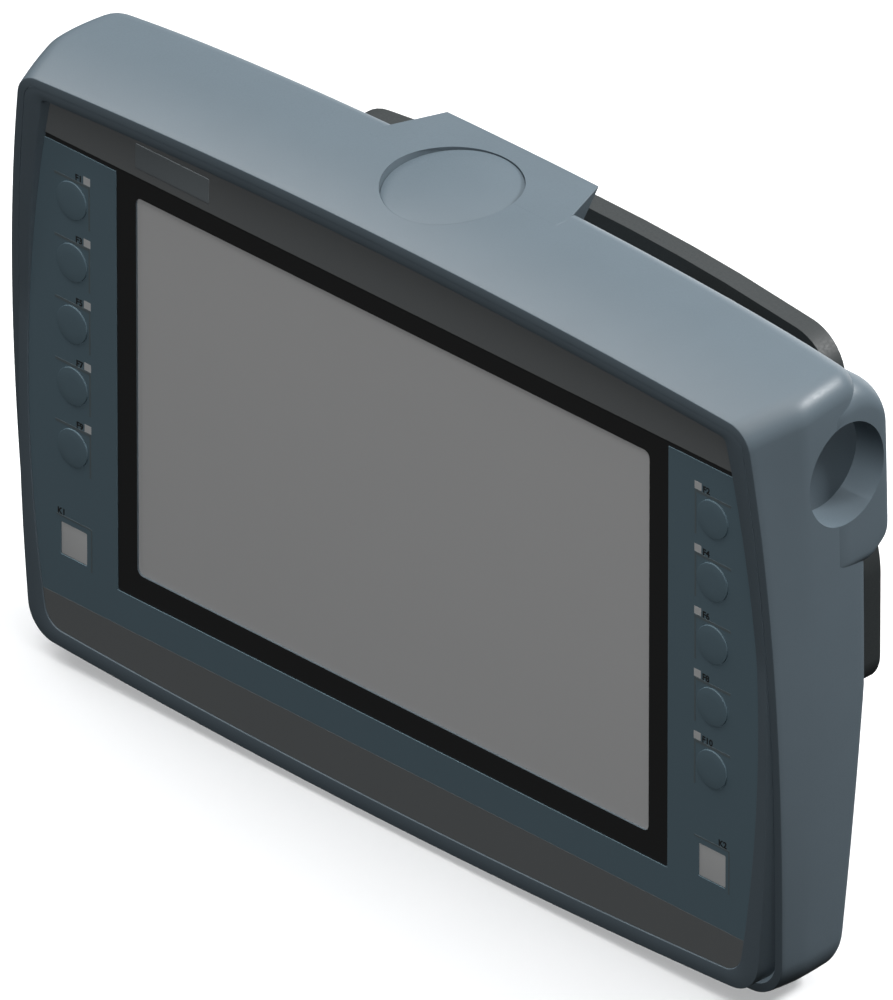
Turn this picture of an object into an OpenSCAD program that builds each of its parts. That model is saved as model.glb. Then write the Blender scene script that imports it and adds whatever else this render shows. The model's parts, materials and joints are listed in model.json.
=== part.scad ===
// Hand-held operator panel: a 9 inch touch display with function keys on both sides,
// a round stop-switch seat on top, a service port well on the right and a grip ring behind.
// In every module X runs right, Y back and Z up, from the middle of the display on the
// front face of the key film. panel_frame() moves it so that the model's origin is on the
// rear face of the grip ring, by which a wall holder carries the panel.

/* [Display] */
// Width of the display's active area
active_w = 195; // [160:1:200]
// Height of the display's active area
active_h = 117; // [95:1:118]
// Black border left and right of the active area
border_side = 7.8; // [5:0.1:9]
// Black border above the active area
border_top = 5.6; // [4:0.1:6]
// Black border below the active area
border_bottom = 8.3; // [5:0.1:9]
// Thickness of the touch screen
touch_t = 1.8; // [1:0.1:2.5]
// Thickness of the display module
lcd_t = 7.5; // [5:0.1:9]

/* [Housing] */
// Width of the housing at its widest
housing_w = 292.9; // [280:0.1:360]
// Height of the front rim above the middle of the display
housing_top = 88; // [86:0.5:110]
// Depth of the bottom edge below the middle of the display
housing_bottom = 99.5; // [97:0.5:125]
// Depth of the housing behind the key film
housing_back = 39; // [36:0.5:50]
// Thickness of the housing's walls
wall_t = 2.6; // [2:0.1:3.2]
// How far the top of the rim stands in front of the key film
rim_forward = 4.3; // [2:0.1:5]
// Tilt of the rim, top forward, in degrees
rim_tilt = 2.95; // [2:0.05:4]
// How much the top surface rises from the rim to the back
top_rise = 5.5; // [3:0.1:7]
// Width of the ridge between the housing's wall and the key film
ridge_w = 3.5; // [2.5:0.1:5]
// Outer radius of the two upper corners
corner_top_r = 8; // [7.5:0.5:14]
// Outer radius of the two lower corners
corner_bottom_r = 13; // [11:0.5:20]

/* [Keys] */
// Radius of a function key
key_r = 5.45; // [4:0.05:6]
// Spacing of the function keys
key_pitch = 19.35; // [18:0.05:21]
// Height of the uppermost function keys above the middle of the display
key_first_z = 48.3; // [45:0.1:50]
// Side of the two square keys
square_key_w = 10; // [8:0.1:11]
// Depth of the square keys below the middle of the display
square_key_drop = 59.25; // [57:0.05:60]
// Travel of the keys
key_travel = 0.4; // [0.2:0.05:0.5]
// Gap round each key
key_gap = 0.3; // [0.2:0.05:0.5]

/* [Stop switch seat] */
// Radius of the round seat on top
seat_r = 19.6; // [15:0.1:20]
// Distance of the seat's middle behind the key film
seat_y = 23.65; // [22:0.05:26]
// Forward tilt of the seat in degrees
seat_tilt = 5.7; // [3:0.1:8]
// Depth of the seat's middle below the top surface
seat_drop = 2.4; // [1.5:0.1:3]

/* [Service port] */
// Radius of the well in the right side
well_r = 15; // [10:0.1:15.5]
// Depth of the well's floor, from the widest point of the housing
well_depth = 13.4; // [8:0.1:16]
// Height of the well above the middle of the display
well_z = 59.5; // [50:0.5:60]
// Distance of the well's middle behind the key film
well_y = 28.5; // [26:0.1:29]

/* [Rear grip] */
// Rear face of the grip ring, behind the key film
grip_rear_y = 80; // [75:0.5:95]
// Thickness of the grip ring
ring_t = 6.5; // [5:0.1:9]
// Width of the band that the grip ring is made of
ring_band = 20; // [15:0.5:22]
// Half the width of the grip ring at its lower end
ring_half_w = 107; // [95:0.5:115]
// Height of the ring's top above the middle of the display
ring_top = 66.5; // [62:0.5:72]
// Travel of the enabling buttons
enable_travel = 3.5; // [2:0.1:4]

/* [Connection compartment] */
// Half the width of the compartment
hump_half_w = 50; // [42:0.5:52]
// Top of the compartment above the middle of the display
hump_top = 42; // [38:0.5:43]
// Bottom of the compartment below the middle of the display
hump_bottom = 21; // [16:0.5:22]
// Radius of the cable inlet's bore
inlet_r = 5.5; // [3:0.1:6.5]

/* [Hidden] */
$fn = 48;
cut = 1;               // how far a cutting solid runs past what it cuts
far = 200;             // reaches past the housing on every side
touch_gap = 0.15;      // clearance round a piece that drops into a pocket

// Curvature of the outline: the top, the sides and the bottom are slack arcs.
crown_r = 2000;
side_r = 700;          // at the front
side_rear_r = 2300;    // at the back, where the sides are straighter
flare_y = 35;          // the level at which the sides have become straight
belly_r = 2500;
side_peak = -17;     // height at which the housing is widest
film_bow = [430, -11.5]; // radius of the films' sides, and where they are widest
bulge_y = 10;          // the sides swell gently, most at this level
bulge_rate = 0.0035;
rise_y = 25;           // the top surface is level from here back
back_fillet = 5;
bend_z = -12;          // below this height the back slopes forward
back_slope = 6.5;
top_fillet = 1.5;      // the top rear edge is rounder than the others, by this factor

// Levels behind the key film, front to back.
film_t = 0.3;
mask_t = 0.6;
touch_y = film_t + mask_t;
tape_t = 0.3;
tape_y = touch_y + touch_t;
ledge_y = tape_y + tape_t;
plate_back = ledge_y + 1.5;
lcd_gasket_t = 1;
lcd_y = plate_back + lcd_gasket_t;
bracket_y = lcd_y + lcd_t;
bracket_t = 1;
board_stand = 6;
board_y = bracket_y + bracket_t + board_stand;
board_t = 1.6;
frame_back = plate_back + 3;
frame_wall = 9.5;
back_inner = housing_back - 4;

// Plan of the front.
side_bulge = bulge_rate * pow(bulge_y + rim_forward, 2);
half_w = housing_w / 2 - side_bulge;
rise_rate = top_rise / pow(rise_y + rim_forward, 2);
ridge_step = wall_t + touch_gap;
ridge_proud = 0.3;
film_side = wall_t + ridge_w;
film_top = wall_t + ridge_w - 0.3;
film_bottom = wall_t + ridge_w + 1.3;
window_half = active_w / 2 + border_side;
window_top = active_h / 2 + border_top;
window_bottom = -active_h / 2 - border_bottom;
stripe_h = 1.5;
footer_top = -housing_bottom + 21.8;
key_off = 16.9;
key_x = window_half + key_off;
square_key_z = -square_key_drop;
led_w = 2.6;
led_h = 2.4;
led_x = key_x - 5.7;
led_up = 8.1;
key_proud = 0.4;
flange_t = 0.7;
flange_over = 1.3;
dome_t = 0.5;
key_board_y = plate_back + 0.2 + flange_t + key_travel + 0.1 + dome_t;
lcd_margin = 6;

// Rear pieces.
ring_front_y = grip_rear_y - ring_t;
ring_bottom = -43;
rest_z = ring_top - ring_band / 2;
cover_t = 2.5;
cover_inset = 9;
cover_top_inset = 14;
lip_w = 11;            // overlap of the rear cover and the housing's back lip
boss_inset = 14.5;
boss_top_inset = 20;
boss_top_x = 98;
boss_z = [-78, -6];
boss_r = 4.5;
boss_front = 14;
step_y = 26;           // below, the housing is a little smaller from here back
step_d = 1;
pad_y = housing_back + 4;
hump_rear_y = ring_front_y - 3.5;
hump_wall = 2.5;
lid_t = 3;
strut_w = 24;
strut_h = 11;
strut_spots = [[48, ring_top - 12], [62, ring_bottom + 9]];
enable_w = 16;
enable_h = 34;
enable_proud = 6;
enable_y = (pad_y + hump_rear_y) / 2;
enable_z = (hump_top - hump_bottom) / 2;
inlet_y = (housing_back + hump_rear_y) / 2 + 2;
inlet_wall = 4;
post_r = 4;
post_in = 5;
seal_t = 0.8;
head_r = 2.8;
head_t = 1.2;
screw_r = 1.5;

// Seat and port.
seat_top_z = housing_top + top_rise - seat_drop;
seat_t = 2;
seat_ledge = 1.2;
seat_neck_r = seat_r - 4.3;
seat_nut_r = seat_neck_r + 1.9;
seat_nut_t = 2.5;
well_floor_x = housing_w / 2 - well_depth;
well_wall = 2;
well_back = 4;
port_plate_t = 3;
port_plate_r = well_r + 0.8;
swell_low = well_z - well_r - 16;
swell_high = well_z + well_r + 6;
swell_in_x = well_floor_x - port_plate_t - 2 * touch_gap;

housing_tone = [0.55, 0.60, 0.64];
dark_tone = [0.15, 0.16, 0.17];
film_tone = [0.20, 0.26, 0.28];
band_tone = [0.23, 0.24, 0.24];
board_tone = [0.10, 0.35, 0.20];
steel_tone = [0.70, 0.72, 0.74];

// An arc about a centre, without its last point.
function arc(centre, r, from, to, steps) =
    [for (i = [0:steps - 1]) let (a = from + (to - from) * i / steps)
        centre + r * [cos(a), sin(a)]];
function heading(v) = atan2(v[1], v[0]);
// Where two circles meet, on the right.
function meet(c0, r0, c1, r1) =
    let (d = c1 - c0, far_by = norm(d),
         along = (r0 * r0 - r1 * r1 + far_by * far_by) / (2 * far_by),
         aside = sqrt(r0 * r0 - along * along) * sign(d[1]))
    c0 + d * along / far_by + aside * [d[1], -d[0]] / far_by;
// The right half of the outline, from its top middle to its bottom middle.
function half_outline(side, top, bottom, r_top, r_bottom, bow) =
    let (bow_r = bow[0],
         top_c = [0, top - crown_r],
         side_c = [side - bow_r, bow[1]],
         bottom_c = [0, bottom + belly_r],
         upper = meet(top_c, crown_r - r_top, side_c, bow_r - r_top),
         lower = meet(bottom_c, belly_r - r_bottom, side_c, bow_r - r_bottom),
         a1 = heading(upper - top_c), a2 = heading(upper - side_c),
         a3 = heading(lower - side_c), a4 = heading(lower - bottom_c))
    concat(arc(top_c, crown_r, 90, a1, 4), arc(upper, r_top, a1, a2, 4),
        arc(side_c, bow_r, a2, a3, 6), arc(lower, r_bottom, a3, a4, 5),
        arc(bottom_c, belly_r, a4, -90, 4), [[0, bottom]]);
function both_sides(half) =
    concat(half, [for (i = [len(half) - 2:-1:1]) [-half[i][0], half[i][1]]]);
function outline(side, top, bottom, r_top, r_bottom, bow = [side_r, side_peak]) =
    both_sides(half_outline(side, top, bottom, r_top, r_bottom, bow));
// A convex outline with its corners rounded; each corner is [x, y, radius].
function rounded(corners, steps = 6) =
    [for (i = [0:len(corners) - 1])
        let (n = len(corners), c = corners[i],
             p = [c[0], c[1]], r = c[2],
             before = corners[(i + n - 1) % n], after = corners[(i + 1) % n],
             a = unit([before[0], before[1]] - p), b = unit([after[0], after[1]] - p),
             half = acos(a * b) / 2,
             middle = p + unit(a + b) * r / sin(half),
             turn = (180 - 2 * half) * (a[0] * b[1] - a[1] * b[0] > 0 ? -1 : 1),
             start = heading(p + a * r / tan(half) - middle))
        each [for (k = [0:steps]) middle + r * [cos(start + turn * k / steps),
            sin(start + turn * k / steps)]]];
function unit(v) = v / norm(v);
// The same outline moved inwards by a distance.
function shrunk(corners, by) =
    [for (i = [0:len(corners) - 1])
        let (n = len(corners), c = corners[i], p = [c[0], c[1]],
             before = corners[(i + n - 1) % n], after = corners[(i + 1) % n],
             a = unit([before[0], before[1]] - p), b = unit([after[0], after[1]] - p),
             q = p + unit(a + b) * by / sin(acos(a * b) / 2))
        [q[0], q[1], max(3, c[2] - by)]];
function box_corners(x0, z0, x1, z1, r) = [[x0, z0, r], [x1, z0, r], [x1, z1, r], [x0, z1, r]];

// How the housing changes from front to back.
function rim_y(z) = (housing_top - z) * tan(rim_tilt) - rim_forward;
function top_at(y) = housing_top + top_rise - rise_rate * pow(max(0, rise_y - y), 2);
function side_at(y) = half_w + side_bulge - bulge_rate * pow(y - bulge_y, 2);
function fillet_at(y) = y < housing_back - back_fillet ? 0
    : back_fillet - sqrt(max(0, pow(back_fillet, 2) - pow(y - housing_back + back_fillet, 2)));
function back_y(z) = housing_back - max(0, bend_z - z) * tan(back_slope);
function side_r_at(y) =
    1 / (1 / side_r + (1 / side_rear_r - 1 / side_r) * max(0, min(1, y / flare_y)));
function ring_at(y, inset) =
    let (fillet = fillet_at(min(y, housing_back)), in = inset + fillet)
    [for (p = outline(side_at(y) - in, top_at(y) - inset - top_fillet * fillet,
        in - housing_bottom, max(1, corner_top_r - in), max(1, corner_bottom_r - in),
        [side_r_at(y), side_peak])) [p[0], y, p[1]]];
function front_outline(side_in, top_in, bottom_in) =
    outline(half_w - side_in, housing_top - top_in, bottom_in - housing_bottom,
        max(1, corner_top_r - top_in), max(1, corner_bottom_r - side_in));
// Half the width of the housing at a height and a level, less an inset.
function wall_x(z, inset, y = -rim_forward) =
    let (r = side_r_at(y)) side_at(y) - r - inset + sqrt(pow(r, 2) - pow(z - side_peak, 2));

module panel_frame() {
    translate([0, -grip_rear_y, -rest_z]) children();
}
// A drawing in X and Z, thickened from y0 to y1.
module slab(y0, y1) {
    translate([0, y1, 0]) rotate([90, 0, 0]) linear_extrude(y1 - y0) children();
}
// A drawing in Y and Z, thickened from x0 to x1.
module bar(x0, x1) {
    translate([x0, 0, 0]) rotate([90, 0, 90]) linear_extrude(x1 - x0) children();
}
module pin(x, z, y0, y1, r) {
    translate([x, y0, z]) rotate([-90, 0, 0]) cylinder(h = y1 - y0, r = r);
}
module cross_pin(x0, x1, y, z, r) {
    translate([x0, y, z]) rotate([0, 90, 0]) cylinder(h = x1 - x0, r = r);
}
module panel(x0, z0, x1, z1, r = 1) {
    polygon(rounded(box_corners(x0, z0, x1, z1, r)));
}
// A closed solid through rings of points that lie one behind another.
module loft(rings) {
    n = len(rings[0]);
    last = len(rings) - 1;
    polyhedron(
        points = [for (ring = rings) each ring],
        faces = concat(
            [[for (i = [0:n - 1]) i]],
            [[for (i = [0:n - 1]) last * n + n - 1 - i]],
            [for (k = [0:last - 1], i = [0:n - 1])
                [(k + 1) * n + i, (k + 1) * n + (i + 1) % n, k * n + (i + 1) % n, k * n + i]]));
}
// Everything in front of the tilted rim plane.
module rim_trim() {
    bar(-far, far) polygon([[-far, -far], [rim_y(-far), -far], [rim_y(far), far], [-far, far]]);
}
// Everything behind the housing's back, moved forward by a distance.
module back_trim(forward) {
    bar(-far, far) polygon([[housing_back - forward, far], [housing_back - forward, bend_z],
        [back_y(-far) - forward, -far], [far, -far], [far, far]]);
}
// Everything behind the sloping lower part of the back, moved forward by a distance.
module slope_trim(forward) {
    run_on = 3;
    bar(-far, far) polygon([[back_y(-far) - forward, -far],
        [housing_back + run_on - forward, bend_z + run_on / tan(back_slope)],
        [far, bend_z + run_on / tan(back_slope)], [far, -far]]);
}
// A countersunk or pan screw along Y, with its head at the back.
module rear_screw(x, z, head_y, length) {
    pin(x, z, head_y - length, head_y, screw_r);
    difference() {
        pin(x, z, head_y, head_y + 2, 2.8);
        slab(head_y + 1, head_y + 2 + cut) translate([x, z]) circle(r = 1.3, $fn = 6);
    }
}
module both() {
    children();
    mirror([1, 0, 0]) children();
}

// ---- housing ----
function boss_spots() = concat(
    [for (z = boss_z) [wall_x(z, boss_inset), z]],
    [[boss_top_x, housing_top - boss_top_inset]]);
module housing_body() {
    y_fillet = housing_back - back_fillet;
    loft([for (y = [-rim_forward - 2, 2, bulge_y, 17, rise_y, y_fillet, y_fillet + 2.6,
        y_fillet + 4.2, housing_back]) ring_at(y, 0)]);
}
module housing_hollow() {
    difference() {
        loft([for (y = [-rim_forward - 3, 2, bulge_y, 17, rise_y, back_inner])
            ring_at(y, wall_t)]);
        slope_trim(housing_back - back_inner);
        both() for (spot = boss_spots()) pin(spot[0], spot[1], boss_front, far, boss_r);
        cross_pin(well_floor_x - well_back, far, well_y, well_z, well_r + well_wall);
        seat_axis() cylinder(h = seat_t + seat_ledge + seat_drop + 2, r = seat_r + 2);
    }
}
// Room for the nut under the seat.
module nut_room() {
    seat_axis() translate([0, 0, -14]) cylinder(h = 14, r = seat_nut_r + 1);
}
// The seat's axis, with its zero at the underside of the ledge.
module seat_axis() {
    translate([0, seat_y, seat_top_z]) rotate([seat_tilt, 0, 0])
        translate([0, 0, -seat_t - seat_ledge]) children();
}
// The wedge-shaped collar behind the seat, with undercut sides and back.
module collar() {
    high = housing_top + top_rise - 0.1;
    low = housing_top - cover_top_inset + 1;
    y0 = housing_back - 7.5;
    y1 = housing_back + 11.5;
    lean = (high - low) * tan(20);
    intersection() {
        translate([0, 0, low]) linear_extrude(high - low)
            polygon([[-36, y0], [36, y0], [28.6, y1], [-28.6, y1]]);
        bar(-far, far)
            polygon([[y0 - cut, low - cut], [y1 - lean, low], [y1, high], [y0 - cut, high + cut]]);
        slab(y0 - cut, y1 + cut)
            polygon([[lean - 36, low], [36 - lean, low], [36, high], [-36, high]]);
    }
}
// The swelling round the service port.
module port_hump() {
    rear = well_y + well_r + 2;
    outer = wall_x(well_z, 0.8, rise_y);
    intersection() {
        translate([0, 0, swell_low]) linear_extrude(swell_high - swell_low)
            polygon(rounded([[swell_in_x, rise_y, 1], [swell_in_x, rear, 1], [outer, rear, 3],
                [outer, rise_y, 1]]));
        bar(0, far) polygon(rounded([[rise_y - 1, swell_low - cut, 1],
            [housing_back, swell_low - cut, 1], [rear + cut, swell_low + 6, 2],
            [rear + cut, swell_high, 9], [rise_y - 1, swell_high, 1]]));
    }
}
// A band round the back, between the cover's screws and its opening.
module seal_band() {
    difference() {
        polygon(front_outline(cover_inset + lip_w - 2.5, cover_top_inset + lip_w - 2,
            cover_inset + lip_w - 2.5));
        polygon(front_outline(cover_inset + lip_w - 1, cover_top_inset + lip_w - 0.5,
            cover_inset + lip_w - 1));
    }
}
module main_housing() {
    color(housing_tone) panel_frame() difference() {
        union() {
            difference() {
                housing_body();
                slope_trim(0);
            }
            collar();
            port_hump();
        }
        rim_trim();
        housing_hollow();
        slab(boss_front, far) polygon(front_outline(cover_inset + lip_w,
            cover_top_inset + lip_w + 1, cover_inset + lip_w));
        cross_pin(well_floor_x - cut, far, well_y, well_z, well_r);
        cross_pin(well_floor_x - well_back - cut, well_floor_x, well_y, well_z, port_plate_r);
        seat_axis() {
            translate([0, 0, seat_ledge]) cylinder(h = 20, r = seat_r + touch_gap);
            translate([0, 0, -cut]) cylinder(h = 20, r = seat_neck_r + touch_gap);
        }
        nut_room();
        both() for (spot = boss_spots()) pin(spot[0], spot[1], boss_front + 2, far, screw_r);
        intersection() {
            slab(0, far) seal_band();
            back_trim(seal_t);
        }
        difference() {
            slab(step_y, far) translate([-far, -housing_bottom - cut])
                square([2 * far, corner_bottom_r + 2]);
            slab(step_y - cut, far + cut) polygon(front_outline(step_d, step_d, step_d));
        }
    }
}
module housing_seal() {
    color(dark_tone) panel_frame() intersection() {
        slab(0, housing_back) seal_band();
        difference() {
            back_trim(seal_t);
            back_trim(0);
        }
    }
}

// ---- rear cover and connection compartment ----
module hump_plan(inset) {
    panel(inset - hump_half_w, inset - hump_bottom, hump_half_w - inset, hump_top - inset,
        6 - inset / 2);
}
function post_spots() = [[hump_half_w - post_in, hump_top - post_in],
    [hump_half_w - post_in, post_in - hump_bottom]];
module rear_cover() {
    color(housing_tone) panel_frame() difference() {
        intersection() {
            union() {
                difference() {
                    slab(boss_front, pad_y) polygon(front_outline(cover_inset,
                        cover_top_inset, cover_inset));
                    back_trim(-cover_t);
                }
                both() for (spot = strut_spots) slab(boss_front, pad_y) strut_plan(spot);
                slab(boss_front, hump_rear_y) hump_plan(0);
            }
            back_trim(0);
        }
        difference() {
            slab(pad_y, far) hump_plan(hump_wall);
            both() for (spot = post_spots()) pin(spot[0], spot[1], 0, far, post_r);
        }
        both() for (spot = post_spots()) pin(spot[0], spot[1], hump_rear_y - 9, far, screw_r);
        translate([-15, boss_front, hump_top - 14]) cube([30, far, 6]);
        bar(swell_in_x - touch_gap, far)
            translate([boss_front - cut, swell_low - touch_gap])
            square([far, swell_high - swell_low + 2 * touch_gap]);
        both() cross_pin_slot();
        translate([0, inlet_y, -hump_bottom - cut])
            cylinder(h = hump_wall + 2 * cut, r = inlet_r + inlet_wall + touch_gap);
        both() for (spot = boss_spots()) {
            pin(spot[0], spot[1], 0, far, screw_r + touch_gap);
            pin(spot[0], spot[1], screw_seat(spot[1]), far, head_r + touch_gap);
        }
        both() for (spot = strut_spots) pin(spot[0], spot[1], 0, far, screw_r);
    }
}
// The level that a rear screw's head seats on.
function screw_seat(z) = back_y(z) + cover_t - 1;
module cross_pin_slot() {
    translate([hump_half_w - hump_wall - cut, enable_y - enable_w / 2 - key_gap,
        enable_z - enable_h / 2 - key_gap])
        cube([hump_wall + 2 * cut, enable_w + 2 * key_gap, enable_h + 2 * key_gap]);
}
module strut_plan(spot) {
    panel(spot[0] - strut_w / 2, spot[1] - strut_h / 2, spot[0] + strut_w / 2,
        spot[1] + strut_h / 2, 3);
}
module rear_screws() {
    color(steel_tone) panel_frame() both() for (spot = boss_spots())
        rear_screw(spot[0], spot[1], screw_seat(spot[1]), 14);
}
module rating_plate() {
    color(steel_tone) panel_frame() intersection() {
        slab(0, far) panel(-34, -housing_bottom + 24, 34, -housing_bottom + 44, 2);
        difference() {
            back_trim(-cover_t);
            back_trim(-cover_t - 0.4);
        }
    }
}
module compartment_seal() {
    color(dark_tone) panel_frame() slab(hump_rear_y, hump_rear_y + seal_t) difference() {
        hump_plan(0);
        hump_plan(hump_wall);
        both() for (spot = post_spots()) translate(spot) circle(r = screw_r + touch_gap);
    }
}
module compartment_cover() {
    color(dark_tone) panel_frame() difference() {
        slab(hump_rear_y + seal_t, hump_rear_y + seal_t + lid_t) hump_plan(0);
        both() for (spot = post_spots()) {
            pin(spot[0], spot[1], 0, far, screw_r + touch_gap);
            pin(spot[0], spot[1], hump_rear_y + seal_t + lid_t - head_t, far, head_r + touch_gap);
        }
    }
}
module compartment_screws() {
    color(steel_tone) panel_frame() both() for (spot = post_spots())
        rear_screw(spot[0], spot[1], hump_rear_y + seal_t + lid_t - head_t, 10);
}
module terminal_block() {
    color([0.2, 0.45, 0.3]) panel_frame() difference() {
        translate([-18, pad_y, 2]) cube([36, 11, 13]);
        for (i = [-3:3]) pin(i * 5, 10.5, pad_y + 5, pad_y + 12, 1.6);
        for (i = [-3:3]) translate([i * 5 - 1.5, pad_y + 3, 1]) cube([3, 4, 6]);
    }
}
module cable_inlet() {
    color(dark_tone) panel_frame() translate([0, inlet_y, -hump_bottom]) difference() {
        union() {
            translate([0, 0, -6]) cylinder(h = 6, r = inlet_r + inlet_wall + 2, $fn = 6);
            translate([0, 0, -12]) cylinder(h = 6, r1 = inlet_r + 2, r2 = inlet_r + inlet_wall);
            cylinder(h = hump_wall + 5, r = inlet_r + inlet_wall);
        }
        translate([0, 0, -12 - cut]) cylinder(h = 30, r = inlet_r);
    }
}
module inlet_nut() {
    color(steel_tone) panel_frame() translate([0, inlet_y, hump_wall - hump_bottom]) difference() {
        cylinder(h = 3, r = inlet_r + inlet_wall + 2.5, $fn = 6);
        translate([0, 0, -cut]) cylinder(h = 6, r = inlet_r + inlet_wall);
    }
}

// ---- front frame and films ----
module window_plan(grow) {
    panel(-window_half - grow, window_bottom - grow, window_half + grow, window_top + grow, 1.5);
}
// The black window and the stripe that runs on above both key columns.
module mask_body(y0, y1, grow) {
    slab(y0, y1) window_plan(grow);
    intersection() {
        slab(y0, y1) film_plan(0);
        slab(y0 - cut, y1 + cut) translate([-far, window_top - 3]) square([2 * far, stripe_h + 3]);
    }
}
module film_plan(inset) {
    polygon(outline(half_w - film_side - inset, housing_top - film_top - inset,
        film_bottom + inset - housing_bottom, max(1, corner_top_r - film_top - inset),
        max(1, corner_bottom_r - film_side - inset), film_bow));
}
module active_plan(grow, r = 2) {
    panel(-active_w / 2 - grow, -active_h / 2 - grow, active_w / 2 + grow, active_h / 2 + grow, r);
}
module key_columns() {
    both() {
        for (i = [0:4]) translate([key_x, key_first_z - i * key_pitch]) circle(r = key_r + key_gap);
        translate([key_x, square_key_z]) square(square_key_w + 2 * key_gap, center = true);
    }
}
module led_columns() {
    both() for (i = [0:4]) translate([led_x, key_first_z - i * key_pitch + led_up])
        square([led_w, led_h], center = true);
}
lcd_boss_x = active_w / 2 + lcd_margin + 4.2;
lcd_boss_z = active_h / 2 - 6;
lcd_boss_r = 3.2;
module front_frame() {
    color(dark_tone) panel_frame() difference() {
        union() {
            difference() {
                slab(-rim_forward - 2, frame_back) polygon(front_outline(ridge_step, ridge_step,
                    ridge_step));
                slab(plate_back, frame_back + cut) polygon(front_outline(ridge_step + frame_wall,
                    ridge_step + frame_wall, ridge_step + frame_wall));
            }
            both() for (z = [-lcd_boss_z, lcd_boss_z])
                pin(lcd_boss_x, z, plate_back - cut, bracket_y, lcd_boss_r);
        }
        intersection() {
            rim_trim();
            slab(-far, -ridge_proud) square(4 * far, center = true);
        }
        slab(-far, film_t) film_plan(0);
        mask_body(film_t - cut, touch_y, 0);
        slab(film_t - cut, ledge_y) window_plan(-0.6);
        slab(film_t - cut, far) active_plan(2);
        slab(0, far) key_columns();
        slab(0, far) led_columns();
        nut_room();
        both() for (z = [-lcd_boss_z, lcd_boss_z])
            pin(lcd_boss_x, z, plate_back, far, screw_r);
        difference() {
            slab(plate_back + 0.6, plate_back + 2.2) polygon(front_outline(0, 0, 0));
            slab(0, far) polygon(front_outline(ridge_step + 1.6, ridge_step + 1.6,
                ridge_step + 1.6));
        }
    }
}
module frame_seal() {
    color([0.1, 0.1, 0.1]) panel_frame() slab(plate_back + 0.6, plate_back + 2.2) difference() {
        polygon(front_outline(ridge_step, ridge_step, ridge_step));
        polygon(front_outline(ridge_step + 1.6, ridge_step + 1.6, ridge_step + 1.6));
    }
}
module film_between(low, high) {
    panel_frame() slab(0, film_t) difference() {
        intersection() {
            film_plan(touch_gap);
            translate([-far, low]) square([2 * far, high - low]);
        }
        window_plan(0);
        key_columns();
        led_columns();
    }
}
module header_film() {
    color(band_tone) film_between(window_top + stripe_h, far);
}
module key_film() {
    color(film_tone) film_between(footer_top, window_top);
}
module footer_film() {
    color(band_tone) film_between(-far, footer_top);
}
module window_mask() {
    color([0.09, 0.09, 0.09]) panel_frame() difference() {
        mask_body(film_t, touch_y, -touch_gap);
        slab(0, far) active_plan(0);
    }
}
module touch_screen() {
    color([0.45, 0.45, 0.45]) panel_frame() slab(touch_y, tape_y) window_plan(-0.8);
}
module touch_tape() {
    color([0.1, 0.1, 0.1]) panel_frame() slab(tape_y, ledge_y) difference() {
        window_plan(-1);
        active_plan(2);
    }
}
module name_plate() {
    color([0.4, 0.42, 0.43]) panel_frame() slab(-0.2, 0)
        panel(-active_w / 2, window_top + 4.4, 28.2 - active_w / 2, window_top + 12, 0.6);
}

// ---- display and boards ----
module lcd_gasket() {
    color([0.1, 0.1, 0.1]) panel_frame() slab(plate_back, lcd_y) difference() {
        active_plan(lcd_margin);
        active_plan(2);
    }
}
module lcd_module() {
    color([0.6, 0.6, 0.6]) panel_frame() {
        difference() {
            slab(lcd_y, bracket_y) active_plan(lcd_margin);
            slab(lcd_y - cut, lcd_y + 1) active_plan(1);
        }
    }
}
module lcd_bracket() {
    color(steel_tone) panel_frame() slab(bracket_y, bracket_y + bracket_t) difference() {
        union() {
            active_plan(lcd_margin + 1);
            both() for (z = [-lcd_boss_z, lcd_boss_z])
                panel(active_w / 2, z - lcd_boss_r, lcd_boss_x + lcd_boss_r, z + lcd_boss_r, 1);
        }
        both() for (z = [-lcd_boss_z, lcd_boss_z])
            translate([lcd_boss_x, z]) circle(r = screw_r + touch_gap);
        both() for (z = [-spacer_z, spacer_z]) translate([spacer_x, z]) circle(r = screw_r);
        panel(-40, -30, 40, 30, 4);
    }
}
module lcd_screws() {
    color(steel_tone) panel_frame() both() for (z = [-lcd_boss_z, lcd_boss_z])
        rear_screw(lcd_boss_x, z, bracket_y + bracket_t, lcd_t);
}
spacer_x = active_w / 2 - 12;
spacer_z = active_h / 2 - 11;
module main_board() {
    color(board_tone) panel_frame() {
        difference() {
            slab(board_y, board_y + board_t) active_plan(-6);
            both() for (z = [-spacer_z, spacer_z])
                pin(spacer_x, z, 0, far, screw_r + touch_gap);
        }
        chip_y = board_y + board_t;
        translate([-18, chip_y, -10]) cube([28, 2, 28]);
        translate([24, chip_y, -6]) cube([14, 1.2, 18]);
        translate([-52, chip_y, 4]) cube([16, 6, 16]);
        both() translate([active_w / 2 - 13, chip_y, -7]) cube([6, 2.4, 14]);
        for (i = [0:3]) pin(-60 + i * 12, -28, chip_y, chip_y + 7, 4);
    }
}
module board_spacers() {
    color(steel_tone) panel_frame() both() for (z = [-spacer_z, spacer_z]) difference() {
        slab(bracket_y + bracket_t, board_y) translate([spacer_x, z]) circle(r = 3, $fn = 6);
        pin(spacer_x, z, 0, far, screw_r);
    }
}
module board_screws() {
    color(steel_tone) panel_frame() both() for (z = [-spacer_z, spacer_z])
        rear_screw(spacer_x, z, board_y + board_t, board_t + board_stand - 1);
}
module key_board() {
    low = square_key_z - 8;
    high = key_first_z + 12;
    wall_in = ridge_step + frame_wall + 2 * touch_gap;
    panel_frame() slab(key_board_y, key_board_y + board_t)
        panel(key_x - 10, low, min(key_x + 9.5, wall_x(low, wall_in), wall_x(high, wall_in)),
            high, 2);
}
module key_board_left() {
    color(board_tone) mirror([1, 0, 0]) key_board();
}
module key_board_right() {
    color(board_tone) key_board();
}
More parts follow.
